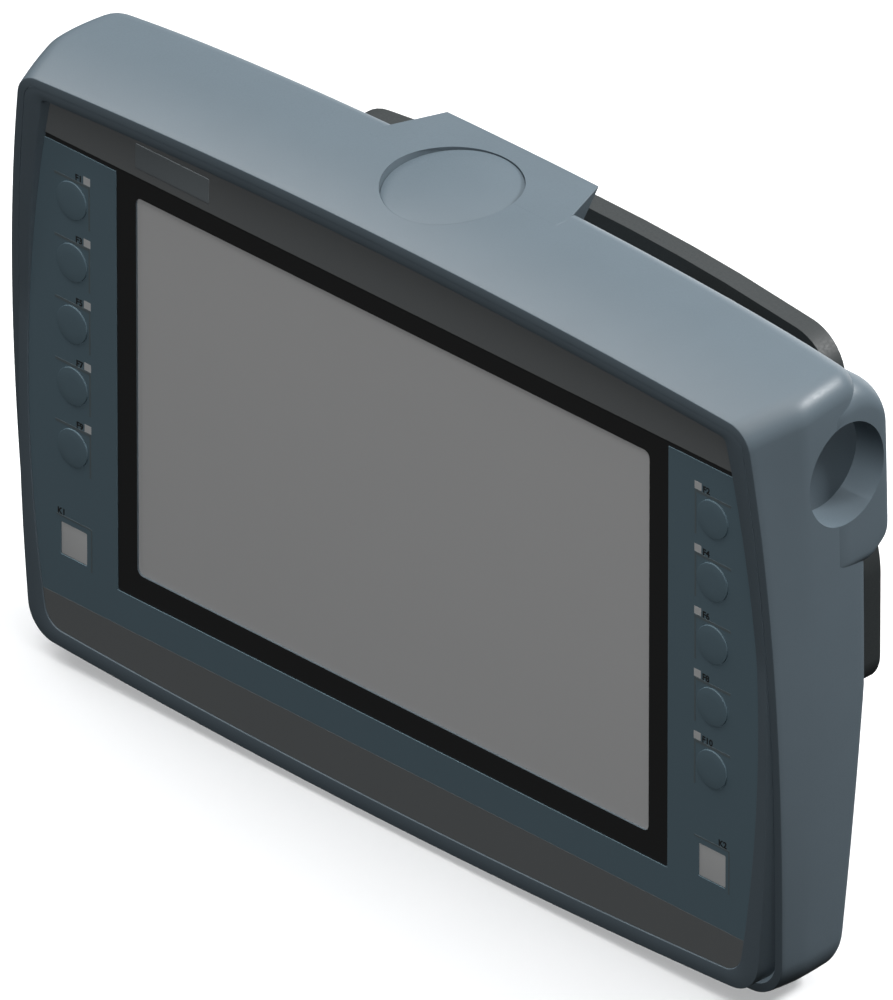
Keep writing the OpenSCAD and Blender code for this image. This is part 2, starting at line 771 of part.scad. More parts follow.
module key_domes() {
    color(steel_tone) panel_frame() both() {
        for (i = [0:4]) pin(key_x, key_first_z - i * key_pitch, key_board_y - dome_t,
            key_board_y, 3.5);
        pin(key_x, square_key_z, key_board_y - dome_t, key_board_y, 3.5);
    }
}
module led_windows() {
    color([0.45, 0.45, 0.45]) panel_frame() slab(0.05, key_board_y - 0.1) led_columns();
}
module ribbon_cables() {
    x0 = active_w / 2 - 12;
    x1 = key_x - 5;
    y0 = key_board_y + board_t;
    y1 = board_y + board_t + 2.4;
    color([0.85, 0.85, 0.8]) panel_frame() both() translate([0, 0, -6]) linear_extrude(12)
        polygon([[x0, y1], [x1 - 0.3, y1], [x1 - 0.3, y0], [x1, y0], [x1, y1 + 0.3], [x0, y1 + 0.3]]);
}

// ---- keys ----
// A round key: side is -1 left or 1 right, row counts from the top.
module function_key(side, row) {
    z = key_first_z - row * key_pitch;
    edge = 0.5;
    color(film_tone) panel_frame() {
        pin(side * key_x, z, edge - key_proud, plate_back + 0.2, key_r);
        translate([side * key_x, -key_proud, z]) rotate([-90, 0, 0])
            cylinder(h = edge, r1 = key_r - edge, r2 = key_r);
        pin(side * key_x, z, plate_back + 0.2, plate_back + 0.2 + flange_t, key_r + flange_over);
    }
}
module key_f1() { function_key(-1, 0); }
module key_f2() { function_key(1, 0); }
module key_f3() { function_key(-1, 1); }
module key_f4() { function_key(1, 1); }
module key_f5() { function_key(-1, 2); }
module key_f6() { function_key(1, 2); }
module key_f7() { function_key(-1, 3); }
module key_f8() { function_key(1, 3); }
module key_f9() { function_key(-1, 4); }
module key_f10() { function_key(1, 4); }
module square_key(side) {
    half = square_key_w / 2;
    x = side * key_x;
    color([0.43, 0.43, 0.43]) panel_frame() {
        slab(-key_proud, plate_back + 0.2)
            panel(x - half, square_key_z - half, x + half, square_key_z + half, 0.6);
        slab(plate_back + 0.2, plate_back + 0.2 + flange_t)
            panel(x - half - flange_over, square_key_z - half - flange_over,
                x + half + flange_over, square_key_z + half + flange_over, 0.6);
    }
}
module key_k1() { square_key(-1); }
module key_k2() { square_key(1); }

// ---- stop switch seat and service port ----
module stop_seat() {
    color(housing_tone) panel_frame() seat_axis() difference() {
        union() {
            translate([0, 0, seat_ledge]) cylinder(h = seat_t, r = seat_r);
            translate([0, 0, -9]) cylinder(h = 9 + seat_ledge, r = seat_neck_r);
        }
        translate([0, 0, -9 - cut]) cylinder(h = 9, r = seat_neck_r - 2.5);
    }
}
module stop_seat_nut() {
    color(dark_tone) panel_frame() seat_axis() translate([0, 0, -seat_nut_t]) difference() {
        cylinder(h = seat_nut_t, r = seat_nut_r);
        translate([0, 0, -cut]) cylinder(h = 10, r = seat_neck_r);
    }
}
// The well's floor, pressed in from the inside.
module port_plate() {
    color(housing_tone) panel_frame()
        cross_pin(well_floor_x - port_plate_t, well_floor_x, well_y, well_z, port_plate_r);
}

// ---- rear grip ----
function ring_corners() =
    let (shoulder = ring_half_w - 16.5,
         right = [[shoulder, ring_top - 6.6, 14], [ring_half_w, -3, 40],
             [ring_half_w, ring_bottom, 10]])
    concat([[0, ring_top + 4.3, 600]], right,
        [for (i = [2:-1:0]) [-right[i][0], right[i][1], right[i][2]]]);
module grip_ring() {
    color(dark_tone) panel_frame() difference() {
        slab(ring_front_y, grip_rear_y) difference() {
            polygon(rounded(ring_corners(), 8));
            polygon(rounded(shrunk(ring_corners(), ring_band), 8));
        }
        both() for (spot = strut_spots) {
            pin(spot[0], spot[1], 0, far, screw_r + touch_gap);
            pin(spot[0], spot[1], grip_rear_y - 2.4, far, head_r + touch_gap);
        }
    }
}
module grip_struts() {
    color(dark_tone) panel_frame() both() for (spot = strut_spots) difference() {
        slab(pad_y, ring_front_y) strut_plan(spot);
        pin(spot[0], spot[1], ring_front_y - 12, far, screw_r);
    }
}
module strut_screws() {
    color(steel_tone) panel_frame() both() for (spot = strut_spots)
        rear_screw(spot[0], spot[1], grip_rear_y - 2.4, ring_t + 6);
}
enable_inner = hump_half_w - hump_wall - 2;
stem_r = 2;
module enable_button() {
    color([0.35, 0.37, 0.38]) panel_frame() {
        bar(enable_inner, hump_half_w + enable_proud) polygon(rounded(box_corners(
            enable_y - enable_w / 2, enable_z - enable_h / 2,
            enable_y + enable_w / 2, enable_z + enable_h / 2, 3)));
        bar(enable_inner, enable_inner + 1.8) polygon(rounded(box_corners(
            enable_y - enable_w / 2 - 1.5, enable_z - enable_h / 2 - 1.5,
            enable_y + enable_w / 2 + 1.5, enable_z + enable_h / 2 + 1.5, 3)));
        cross_pin(enable_inner - enable_travel - 1, enable_inner, enable_y, enable_z, stem_r);
    }
}
module enable_button_left() { mirror([1, 0, 0]) enable_button(); }
module enable_button_right() { enable_button(); }
module enable_switch() {
    switch_face = enable_inner - enable_travel - 0.3;
    color([0.75, 0.2, 0.15]) panel_frame() difference() {
        translate([switch_face - 14, pad_y, enable_z - 9]) cube([14, enable_y + 8 - pad_y, 18]);
        cross_pin(switch_face - enable_travel - 2, far, enable_y, enable_z, stem_r + 0.4);
    }
}
module enable_switch_left() { mirror([1, 0, 0]) enable_switch(); }
module enable_switch_right() { enable_switch(); }

main_housing();
rear_cover();
housing_seal();
front_frame();
frame_seal();
header_film();
key_film();
footer_film();
window_mask();
touch_screen();
touch_tape();
lcd_gasket();
lcd_module();
lcd_bracket();
lcd_screws();
main_board();
board_spacers();
board_screws();
key_board_left();
key_board_right();
key_domes();
led_windows();
ribbon_cables();
key_f1();
key_f2();
key_f3();
key_f4();
key_f5();
key_f6();
key_f7();
key_f8();
key_f9();
key_f10();
key_k1();
key_k2();
name_plate();
stop_seat();
stop_seat_nut();
port_plate();
grip_ring();
grip_struts();
strut_screws();
enable_button_left();
enable_button_right();
enable_switch_left();
enable_switch_right();
compartment_cover();
compartment_seal();
compartment_screws();
terminal_block();
cable_inlet();
inlet_nut();
rear_screws();
rating_plate();
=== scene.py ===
"""Builds the looks of a hand-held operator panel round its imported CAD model."""
import json
import math

import bmesh
import bpy
from bpy.props import FloatProperty, IntProperty, PointerProperty, StringProperty
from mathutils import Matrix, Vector


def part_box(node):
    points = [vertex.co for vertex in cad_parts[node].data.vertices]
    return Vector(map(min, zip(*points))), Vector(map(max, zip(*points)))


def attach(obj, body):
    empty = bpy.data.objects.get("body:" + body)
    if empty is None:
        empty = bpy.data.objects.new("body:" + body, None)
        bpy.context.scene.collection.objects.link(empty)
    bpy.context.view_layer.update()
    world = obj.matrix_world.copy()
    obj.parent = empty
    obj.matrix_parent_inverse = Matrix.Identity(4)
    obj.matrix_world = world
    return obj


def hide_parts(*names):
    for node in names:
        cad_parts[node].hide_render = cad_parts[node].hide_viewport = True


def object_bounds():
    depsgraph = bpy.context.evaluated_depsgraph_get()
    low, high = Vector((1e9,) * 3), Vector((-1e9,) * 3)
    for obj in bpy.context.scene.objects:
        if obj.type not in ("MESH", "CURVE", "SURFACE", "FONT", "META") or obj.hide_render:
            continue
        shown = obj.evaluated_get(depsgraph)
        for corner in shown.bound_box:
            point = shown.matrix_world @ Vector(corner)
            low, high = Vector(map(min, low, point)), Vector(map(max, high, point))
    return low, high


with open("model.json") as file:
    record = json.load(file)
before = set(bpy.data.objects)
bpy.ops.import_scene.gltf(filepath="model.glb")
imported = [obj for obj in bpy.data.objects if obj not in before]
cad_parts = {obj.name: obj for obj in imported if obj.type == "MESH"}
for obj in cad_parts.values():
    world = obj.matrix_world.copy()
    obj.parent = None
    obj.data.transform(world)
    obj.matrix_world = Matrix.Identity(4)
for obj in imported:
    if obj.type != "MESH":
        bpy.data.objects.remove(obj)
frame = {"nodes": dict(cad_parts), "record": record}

CAD_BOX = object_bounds()

bl_info = {
    "name": "Operator panel",
    "version": (1, 0, 0),
    "blender": (4, 5, 0),
    "location": "View3D > Sidebar > Operator panel",
    "description": "Builds a hand-held operator panel with a touch display and function keys",
    "category": "Object",
}

MM = 0.001
BODY = "housing"
NODES = frame["nodes"]
FILM_LO, FILM_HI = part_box("key_film")
LCD_LO, LCD_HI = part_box("lcd_module")
HOUSING_LO, HOUSING_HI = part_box("main_housing")
KEY_LO, KEY_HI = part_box("key_f2")
FILM_Y = FILM_LO.y
DISPLAY_Z = (LCD_LO.z + LCD_HI.z) / 2
HALF_W = HOUSING_HI.x
BOTTOM = HOUSING_LO.z - DISPLAY_Z
KEY_X = (KEY_LO.x + KEY_HI.x) / 2


def at(x, y, z):
    """A point given from the middle of the display and the face of the films, in the frame."""
    return Vector((x, y + FILM_Y, z + DISPLAY_Z))


# ---------------------------------------------------------------- settings
class PanelHousingSettings(bpy.types.PropertyGroup):
    """Sizes of the moulded housing."""
    top: FloatProperty(name="Rim height", description="Top of the rim above the display's middle",
                       default=88 * MM, subtype="DISTANCE")
    wall: FloatProperty(name="Wall", description="Thickness of the walls",
                        default=2.6 * MM, subtype="DISTANCE")
    side_rear_r: FloatProperty(name="Rear side radius",
                               description="Radius of the sides at the back",
                               default=2300 * MM, subtype="DISTANCE")
    film_r: FloatProperty(name="Film side radius", description="Radius of the films' sides",
                          default=430 * MM, subtype="DISTANCE")
    crown_r: FloatProperty(name="Crown radius", description="Radius of the slack top edge",
                           default=2000 * MM, subtype="DISTANCE")
    side_r: FloatProperty(name="Side radius", description="Radius of the bowed sides",
                          default=700 * MM, subtype="DISTANCE")
    belly_r: FloatProperty(name="Bottom radius", description="Radius of the slack bottom edge",
                           default=2500 * MM, subtype="DISTANCE")
    corner_top: FloatProperty(name="Upper corners", description="Radius of the upper corners",
                              default=8 * MM, subtype="DISTANCE")
    corner_bottom: FloatProperty(name="Lower corners", description="Radius of the lower corners",
                                 default=13 * MM, subtype="DISTANCE")
    back: FloatProperty(name="Depth", description="Depth of the housing behind the key film",
                        default=39 * MM, subtype="DISTANCE")
    rim_forward: FloatProperty(name="Rim lead", description="How far the rim's top leads the film",
                               default=4.3 * MM, subtype="DISTANCE")
    rim_tilt: FloatProperty(name="Rim tilt", description="Forward tilt of the rim",
                            default=math.radians(2.95), subtype="ANGLE")
    back_fillet: FloatProperty(name="Rear fillet", description="Radius of the rear edges",
                               default=5 * MM, subtype="DISTANCE")
    rim_edge: FloatProperty(name="Rim edge", description="Radius of the rim's outer edge",
                            default=0.2 * MM, subtype="DISTANCE")


class PanelFrontSettings(bpy.types.PropertyGroup):
    """Sizes of the front: ridge, films, window and marks."""
    ridge_proud: FloatProperty(name="Ridge", description="How far the ridge leads the film",
                               default=0.3 * MM, subtype="DISTANCE")
    line_w: FloatProperty(name="Line width", description="Width of the embossed key lines",
                          default=0.8 * MM, subtype="DISTANCE")
    label_h: FloatProperty(name="Label height", description="Height of the key numbers",
                           default=1.9 * MM, subtype="DISTANCE")
    key_round: FloatProperty(name="Key edge", description="Radius of a round key's edge",
                             default=0.12 * MM, subtype="DISTANCE")
    rows: IntProperty(name="Key rows", description="Function keys in each column", default=5)


class PanelFinishSettings(bpy.types.PropertyGroup):
    """Colours of the finishes, as sRGB hex values."""
    housing: StringProperty(name="Housing", description="Petrol grey moulding", default="#59656D")
    frame: StringProperty(name="Front frame", description="Dark moulding", default="#59656D")
    film: StringProperty(name="Key film", description="Deep petrol print", default="#5E727C")
    band: StringProperty(name="Bands", description="Warm grey print", default="#6C6F70")
    mask: StringProperty(name="Mask", description="Black print", default="#242424")
    display: StringProperty(name="Display", description="Unlit display", default="#C6C6C6")
    mark: StringProperty(name="Marks", description="Pale grey windows", default="#C6C7C7")
    grip: StringProperty(name="Grip", description="Charcoal moulding", default="#2A2E2F")


def housing_settings():
    """The housing's sizes in this scene."""
    return bpy.context.scene.panel_housing


def front_settings():
    """The front's sizes in this scene."""
    return bpy.context.scene.panel_front


def finish_settings():
    """The colours in this scene."""
    return bpy.context.scene.panel_finish


# ---------------------------------------------------------------- materials
CLOUD = 18 * MM          # size of the slow colour mottling
ROUGH_SPREAD = 0.06      # how far the roughness strays to either side
GRAIN_DEPTH = 0.05 * MM


def linear(hex_value):
    """A linear colour from an sRGB hex value."""
    channels = [int(hex_value[i:i + 2], 16) / 255 for i in (1, 3, 5)]
    return tuple(c / 12.92 if c <= 0.04045 else ((c + 0.055) / 1.055) ** 2.4
                 for c in channels) + (1.0,)


def add_node(tree, kind, values=None, links=None, **settings):
    """Adds a node, sets its fields and input values, and links (node, output) pairs to it."""
    node = tree.nodes.new(kind)
    for key, value in settings.items():
        setattr(node, key, value)
    for key, value in (values or {}).items():
        node.inputs[key].default_value = value
    for key, (source, output) in (links or {}).items():
        tree.links.new(source.outputs[output], node.inputs[key])
    return node


def tint(colour, factor):
    """A colour made darker or paler."""
    return tuple(min(1.0, c * factor) for c in colour[:3]) + (1.0,)


def moulded(name, hex_value, rough=0.5, grain_mm=0.6, depth=0.08, mottle=0.05, metal=0.0,
            ior=1.5, coat=0.0):
    """A textured surface: slow colour mottling, fine grain in the bump, uneven roughness.
    The grain's size is a real size in millimetres, drawn a little coarser than spark texture."""
    known = bpy.data.materials.get(name)
    if known:
        return known
    material = bpy.data.materials.new(name)
    material.use_nodes = True
    tree = material.node_tree
    tree.nodes.clear()
    colour = linear(hex_value)
    where = add_node(tree, "ShaderNodeTexCoord")
    cloud = add_node(tree, "ShaderNodeTexNoise", {"Scale": 1 / CLOUD, "Detail": 3.0},
                     {"Vector": (where, "Object")})
    grain = add_node(tree, "ShaderNodeTexNoise",
                     {"Scale": 1 / (grain_mm * MM), "Detail": 2.0, "Roughness": 0.6},
                     {"Vector": (where, "Object")})
    mixed = add_node(tree, "ShaderNodeMix", links={"Factor": (cloud, "Fac")}, data_type="RGBA")
    # A Mix node's colour sockets are inputs 6 and 7 and output 2.
    mixed.inputs[6].default_value = tint(colour, 1 - mottle)
    mixed.inputs[7].default_value = tint(colour, 1 + mottle)
    rough_map = add_node(tree, "ShaderNodeMapRange",
                         {"From Min": 0.3, "From Max": 0.7, "To Min": rough - ROUGH_SPREAD,
                          "To Max": rough + ROUGH_SPREAD}, {"Value": (grain, "Fac")})
    bump = add_node(tree, "ShaderNodeBump", {"Strength": depth, "Distance": GRAIN_DEPTH},
                    {"Height": (grain, "Fac")})
    shader = add_node(tree, "ShaderNodeBsdfPrincipled", {"Metallic": metal, "Coat Weight": coat},
                      {"Roughness": (rough_map, "Result"), "Normal": (bump, "Normal")})
    if not metal:
        shader.inputs["IOR"].default_value = ior
    tree.links.new(mixed.outputs[2], shader.inputs["Base Color"])
    output = add_node(tree, "ShaderNodeOutputMaterial")
    tree.links.new(shader.outputs["BSDF"], output.inputs["Surface"])
    return material


def housing_material():
    # PC-ABS blend, spark-eroded mould: satin, with a fine even grain.
    return moulded("pc_abs_petrol_grey_moulded", finish_settings().housing, 0.42, 0.5, 0.10)


def frame_material():
    # Darker PC-ABS of the front frame, smoother than the housing.
    return moulded("pc_abs_dark_moulded", finish_settings().frame, 0.45, 0.5, 0.08)


def film_material():
    # Polyester key film, back-printed, with a fine matt face that spreads highlights.
    return moulded("polyester_film_petrol_printed", finish_settings().film, 0.48, 0.25, 0.05, 0.02)


def band_material():
    # The same film where it is printed warm grey.
    return moulded("polyester_film_grey_printed", finish_settings().band, 0.48, 0.25, 0.05, 0.02)


def mask_material():
    # Black print under the touch panel's border.
    return moulded("polyester_film_black_printed", finish_settings().mask, 0.4, 0.25, 0.04, 0.02)


def line_material():
    # Embossed line in the film, where the print shows a little paler.
    return moulded("polyester_film_embossed_line", "#5F6A6E", 0.45, 0.25, 0.04, 0.02)


def display_material():
    # Anti-glare glass over an unlit display: even grey with a faint sparkle.
    return moulded("glass_antiglare_etched", finish_settings().display, 0.36, 0.12, 0.04, 0.01)


def mark_material():
    # Clear windows in the film over pale diffusers.
    return moulded("polycarbonate_diffusing", finish_settings().mark, 0.4, 0.3, 0.03, 0.02)


def grip_material():
    # Charcoal PA6 with glass fibre: matt and slightly streaky.
    return moulded("pa6_charcoal_moulded", finish_settings().grip, 0.55, 0.7, 0.12, 0.08)


def rubber_material():
    # EPDM seal, dull black.
    return moulded("epdm_rubber_black", "#1B1B1C", 0.75, 0.6, 0.1, 0.05)


def steel_material():
    # Zinc-plated steel: bright, a little cloudy.
    return moulded("steel_zinc_plated", "#B9BCC0", 0.32, 0.4, 0.04, 0.06, metal=1.0)


def board_material():
    # Glass-epoxy board under green solder mask.
    return moulded("fr4_green_solder_mask", "#1F5A3A", 0.4, 0.4, 0.05, 0.1, coat=0.3)


def red_material():
    # Red PBT of the switch modules.
    return moulded("pbt_red_moulded", "#8E2A20", 0.45, 0.5, 0.06, 0.05)


def soft_material():
    # Soft-touch TPE of the enabling buttons: matt and rubbery.
    return moulded("tpe_grey_soft_touch", "#5E666A", 0.65, 0.5, 0.1, 0.05)


def plate_material():
    # Anodised aluminium label plate, plain and blank.
    return moulded("aluminium_anodised_satin", "#9BA3A7", 0.4, 0.3, 0.04, 0.04, metal=0.6)


# ---------------------------------------------------------------- mesh helpers
BEVEL_ABOVE = math.radians(30)
ROUND_SIDES = 128


def new_object(name, mesh):
    """An object in the scene from a mesh, curve, light or camera."""
    piece = bpy.data.objects.new(name, mesh)
    bpy.context.scene.collection.objects.link(piece)
    return piece


def mesh_from(name, points, faces):
    """A mesh from points and faces."""
    mesh = bpy.data.meshes.new(name)
    mesh.from_pydata([tuple(p) for p in points], [], faces)
    mesh.update()
    return mesh


def tidy_mesh(mesh, merge=1e-6):
    """Merges double points and turns the faces outwards."""
    work = bmesh.new()
    work.from_mesh(mesh)
    bmesh.ops.remove_doubles(work, verts=work.verts, dist=merge)
    bmesh.ops.recalc_face_normals(work, faces=work.faces)
    work.to_mesh(mesh)
    work.free()


def smooth_below(mesh, angle):
    """Smooth shading, with edges sharper than the angle kept."""
    for face in mesh.polygons:
        face.use_smooth = True
    mesh.set_sharp_from_angle(angle=math.radians(angle))


def loft(name, rings, tube=False):
    """A mesh through rings of equal length; a tube joins the last ring to the first."""
    count = len(rings[0])
    points = [p for ring in rings for p in ring]
    spans = len(rings) if tube else len(rings) - 1
    faces = []
    for k in range(spans):
        low = k * count
        high = (k + 1) % len(rings) * count
        for i in range(count):
            j = (i + 1) % count
            faces.append((low + i, low + j, high + j, high + i))
    if not tube:
        faces.append(tuple(range(count)))
        faces.append(tuple((len(rings) - 1) * count + i for i in reversed(range(count))))
    mesh = mesh_from(name, points, faces)
    tidy_mesh(mesh)
    return new_object(name, mesh)


def evaluated_mesh(piece):
    """The mesh that a piece's curve and modifiers give."""
    bpy.context.view_layer.update()
    graph = bpy.context.evaluated_depsgraph_get()
    return bpy.data.meshes.new_from_object(piece.evaluated_get(graph))


def baked(piece):
    """Applies every modifier and leaves a plain mesh."""
    mesh = evaluated_mesh(piece)
    piece.modifiers.clear()
    piece.data = mesh
    return piece


def bevelled(piece, width, segments=2):
    """Rounds the sharp edges of a piece."""
    modifier = piece.modifiers.new("edge", "BEVEL")
    modifier.width = width
    modifier.segments = segments
    modifier.limit_method = "ANGLE"
    modifier.angle_limit = BEVEL_ABOVE
    modifier.use_clamp_overlap = True
    return baked(piece)


def carve(piece, cutter):
    """Cuts a shape out of a piece and discards the cutter."""
    modifier = piece.modifiers.new("cut", "BOOLEAN")
    modifier.operation = "DIFFERENCE"
    modifier.solver = "EXACT"
    modifier.object = cutter
    baked(piece)
    bpy.data.objects.remove(cutter)
    return piece


def full_turn(sides):
    """The angles of a circle in equal steps."""
    return [2 * math.pi * i / sides for i in range(sides)]


def cylinder(name, start, end, radius, sides=ROUND_SIDES):
    """A closed cylinder between two points."""
    axis = (end - start).normalized()
    across = axis.orthogonal().normalized()
    up = axis.cross(across)
    rings = [[p + radius * (across * math.cos(a) + up * math.sin(a)) for a in full_turn(sides)]
             for p in (start, end)]
    return loft(name, rings)


def rounded_box(x0, z0, x1, z1, radius, steps=6):
    """Points of a rectangle with rounded corners, in X and Z."""
    points = []
    for cx, cz, start in ((x1 - radius, z1 - radius, 0), (x0 + radius, z1 - radius, 90),
                          (x0 + radius, z0 + radius, 180), (x1 - radius, z0 + radius, 270)):
        for i in range(steps + 1):
            a = math.radians(start + 90 * i / steps)
            points.append((cx + radius * math.cos(a), cz + radius * math.sin(a)))
    return points


def circle_points(x, z, radius):
    """Points of a circle, in X and Z."""
    return [(x + radius * math.cos(a), z + radius * math.sin(a)) for a in full_turn(64)]


def sheet(name, loops, y0, y1, edge=0.0):
    """A flat piece between two levels, from closed loops of X and Z; inner loops are holes."""
    curve = bpy.data.curves.new(name, "CURVE")
    curve.dimensions = "2D"
    curve.fill_mode = "BOTH"
    curve.extrude = (y1 - y0) / 2 - edge
    curve.bevel_depth = edge
    curve.bevel_resolution = 2
    curve.offset = -edge
    for loop in loops:
        spline = curve.splines.new("POLY")
        spline.points.add(len(loop) - 1)
        for point, (x, z) in zip(spline.points, loop):
            point.co = (x, z, 0, 1)
        spline.use_cyclic_u = True
    drawn = new_object(name, curve)
    mesh = evaluated_mesh(drawn)
    bpy.data.objects.remove(drawn)
    for vertex in mesh.vertices:
        x, z, depth = vertex.co
        vertex.co = at(x, (y0 + y1) / 2 + depth, z)
    tidy_mesh(mesh, 1e-7)
    return new_object(name, mesh)


def joined(name, pieces):
    """One object from several, with their materials kept."""
    work = bmesh.new()
    materials = []
    for piece in pieces:
        start = len(work.faces)
        work.from_mesh(piece.data)
        work.faces.ensure_lookup_table()
        slots = list(piece.data.materials) or [None]
        for face in work.faces[start:]:
            own = slots[min(face.material_index, len(slots) - 1)]
            if own not in materials:
                materials.append(own)
            face.material_index = materials.index(own)
    mesh = bpy.data.meshes.new(name)
    work.to_mesh(mesh)
    work.free()
    for own in materials:
        mesh.materials.append(own)
    for piece in pieces:
        bpy.data.objects.remove(piece)
    return new_object(name, mesh)


def paint(piece, material):
    """Gives a piece one material."""
    piece.data.materials.clear()
    piece.data.materials.append(material)
    return piece


def deliver(piece, body, nodes=(), angle=35):
    """Smooths a finished piece, lets it ride on its body and hides the CAD nodes that it stands
    for.
    """
    if not piece.data.has_custom_normals:
        smooth_below(piece.data, angle)
    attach(piece, body)
    if nodes:
        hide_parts(*nodes)
    return piece


def cad_copy(node, name, edge, segments=2):
    """A copy of a CAD node with its coplanar faces joined and its edges rounded. The flat faces
    keep their own direction, so the rounding alone is shaded as a curve."""
    mesh = NODES[node].data.copy()
    mesh.materials.clear()
    work = bmesh.new()
    work.from_mesh(mesh)
    bmesh.ops.remove_doubles(work, verts=work.verts, dist=1e-6)
    bmesh.ops.dissolve_limit(work, angle_limit=math.radians(1), verts=work.verts,
                             edges=work.edges)
    work.to_mesh(mesh)
    work.free()
    piece = bevelled(new_object(name, mesh), edge, segments)
    smooth_below(piece.data, 40)
    modifier = piece.modifiers.new("flat", "WEIGHTED_NORMAL")
    modifier.keep_sharp = True
    modifier.weight = 100
    return baked(piece)


# ---------------------------------------------------------------- shape of the housing
RISE_Y = 25 * MM                  # depth at which the top stops rising
TOP_RISE = 5.38 * MM              # how much the top rises from the rim to there
BULGE_Y = 10 * MM                 # depth at which the sides are widest
SWELL_R = 143 * MM                # radius of the sides from front to back
SIDE_PEAK = -17.5 * MM            # height at which the sides are widest
FILM_PEAK = -11.5 * MM            # the same for the films
FLARE_Y = 17 * MM                 # how far back the sides take to grow straighter
BEND_Z = -12 * MM                 # height below which the back leans forward
BACK_SLOPE = math.radians(6.5)
TOP_FILLET = 1.5                  # how much more the rear fillet takes of the top
ARC_STEPS = (24, 14, 40, 16, 24)  # points on the five arcs of half an outline
HALF_COUNT = sum(ARC_STEPS)
UPPER_Z, UPPER_SPAN = 30 * MM, 58 * MM


def rim_y(z):
    """Depth of the rim at a height."""
    s = housing_settings()
    return (s.top - z) * math.tan(s.rim_tilt) - s.rim_forward


def back_y(z):
    """Depth of the back at a height."""
    return housing_settings().back - max(0.0, BEND_Z - z) * math.tan(BACK_SLOPE)


def top_at(y):
    """Height of the top's middle at a depth."""
    s = housing_settings()
    radius = (RISE_Y + s.rim_forward) ** 2 / (2 * TOP_RISE)
    return s.top + TOP_RISE - max(0.0, RISE_Y - y) ** 2 / (2 * radius)


def side_at(y):
    """Half the widest width at a depth."""
    return HALF_W - (y - BULGE_Y) ** 2 / (2 * SWELL_R)


def meet(c0, r0, c1, r1):
    """Where two circles meet, on the right."""
    d = c1 - c0
    along = (r0 * r0 - r1 * r1 + d.length_squared) / (2 * d.length)
    aside = math.sqrt(r0 * r0 - along * along) * (1 if d.y > 0 else -1)
    return c0 + d * along / d.length + Vector((d.y, -d.x)) * aside / d.length


def heading(v):
    """The angle of a flat vector."""
    return math.atan2(v.y, v.x)


def side_r_at(y):
    """Radius of the bowed sides at a depth."""
    s = housing_settings()
    share = max(0.0, min(1.0, (y + s.rim_forward) / FLARE_Y))
    return 1 / (1 / s.side_r + (1 / s.side_rear_r - 1 / s.side_r) * share)


def half_arcs(side, top, bottom, r_top, r_bottom, bow_r, peak=SIDE_PEAK):
    """The five arcs of the outline's right half, from the top middle to the bottom middle."""
    s = housing_settings()
    top_c = Vector((0, top - s.crown_r))
    side_c = Vector((side - bow_r, peak))
    bottom_c = Vector((0, bottom + s.belly_r))
    upper = meet(top_c, s.crown_r - r_top, side_c, bow_r - r_top)
    lower = meet(bottom_c, s.belly_r - r_bottom, side_c, bow_r - r_bottom)
    a1, a2 = heading(upper - top_c), heading(upper - side_c)
    a3, a4 = heading(lower - side_c), heading(lower - bottom_c)
    return ((top_c, s.crown_r, math.pi / 2, a1), (upper, r_top, a1, a2),
            (side_c, bow_r, a2, a3), (lower, r_bottom, a3, a4),
            (bottom_c, s.belly_r, a4, -math.pi / 2))


def arc_point(arcs, index):
    """Point number index of the closed outline that the arcs and their mirror images make."""
    mirrored = index > HALF_COUNT
    k = 2 * HALF_COUNT - index if mirrored else index
    for (centre, radius, start, end), steps in zip(arcs, ARC_STEPS):
        if k <= steps:
            a = start + (end - start) * k / steps
            x, z = centre.x + radius * math.cos(a), centre.y + radius * math.sin(a)
            return (-x if mirrored else x), z
        k -= steps
    return 0.0, 0.0


def outline(side_in, top_in, bottom_in, bow_r=None, peak=SIDE_PEAK):
    """The front outline, set in by these amounts."""
    s = housing_settings()
    half_w = HALF_W - (BULGE_Y + s.rim_forward) ** 2 / (2 * SWELL_R)
    arcs = half_arcs(half_w - side_in, s.top - top_in, BOTTOM + bottom_in,
                     max(MM, s.corner_top - top_in), max(MM, s.corner_bottom - side_in),
                     bow_r or s.side_r, peak)
    return [arc_point(arcs, i) for i in range(2 * HALF_COUNT)]


def upper_share(z):
    """Nothing up to a height, growing to one at the top."""
    return max(0.0, min(1.0, (z - UPPER_Z) / UPPER_SPAN))


def corner_share(x, z):
    """One at the two upper corners and nearly none elsewhere."""
    return upper_share(z) * (x / HALF_W) ** 6


def housing_ring(level, inset, fillet=0.0):
    """A ring of the housing's skin at a level that varies over the outline, set in by an inset
    and by the rear fillet, which takes more of the top than of the sides."""
    s = housing_settings()
    ring = []
    for i, (x_guide, z_guide) in enumerate(outline(0, 0, 0)):
        y = level(x_guide, z_guide)
        step_in = inset + fillet * (1 + 0.8 * corner_share(x_guide, z_guide))
        arcs = half_arcs(side_at(y) - step_in,
                         top_at(y) - inset - TOP_FILLET * (step_in - inset),
                         BOTTOM + step_in, max(MM, s.corner_top - step_in),
                         max(MM, s.corner_bottom - step_in), side_r_at(y))
        x, z = arc_point(arcs, i)
        ring.append(at(x, y, z))
    return ring


def side_x(y, z):
    """Where the skin of the side is, at a depth and a height."""
    bow_r = side_r_at(y)
    return side_at(y) - bow_r + math.sqrt(bow_r ** 2 - (z - SIDE_PEAK) ** 2)


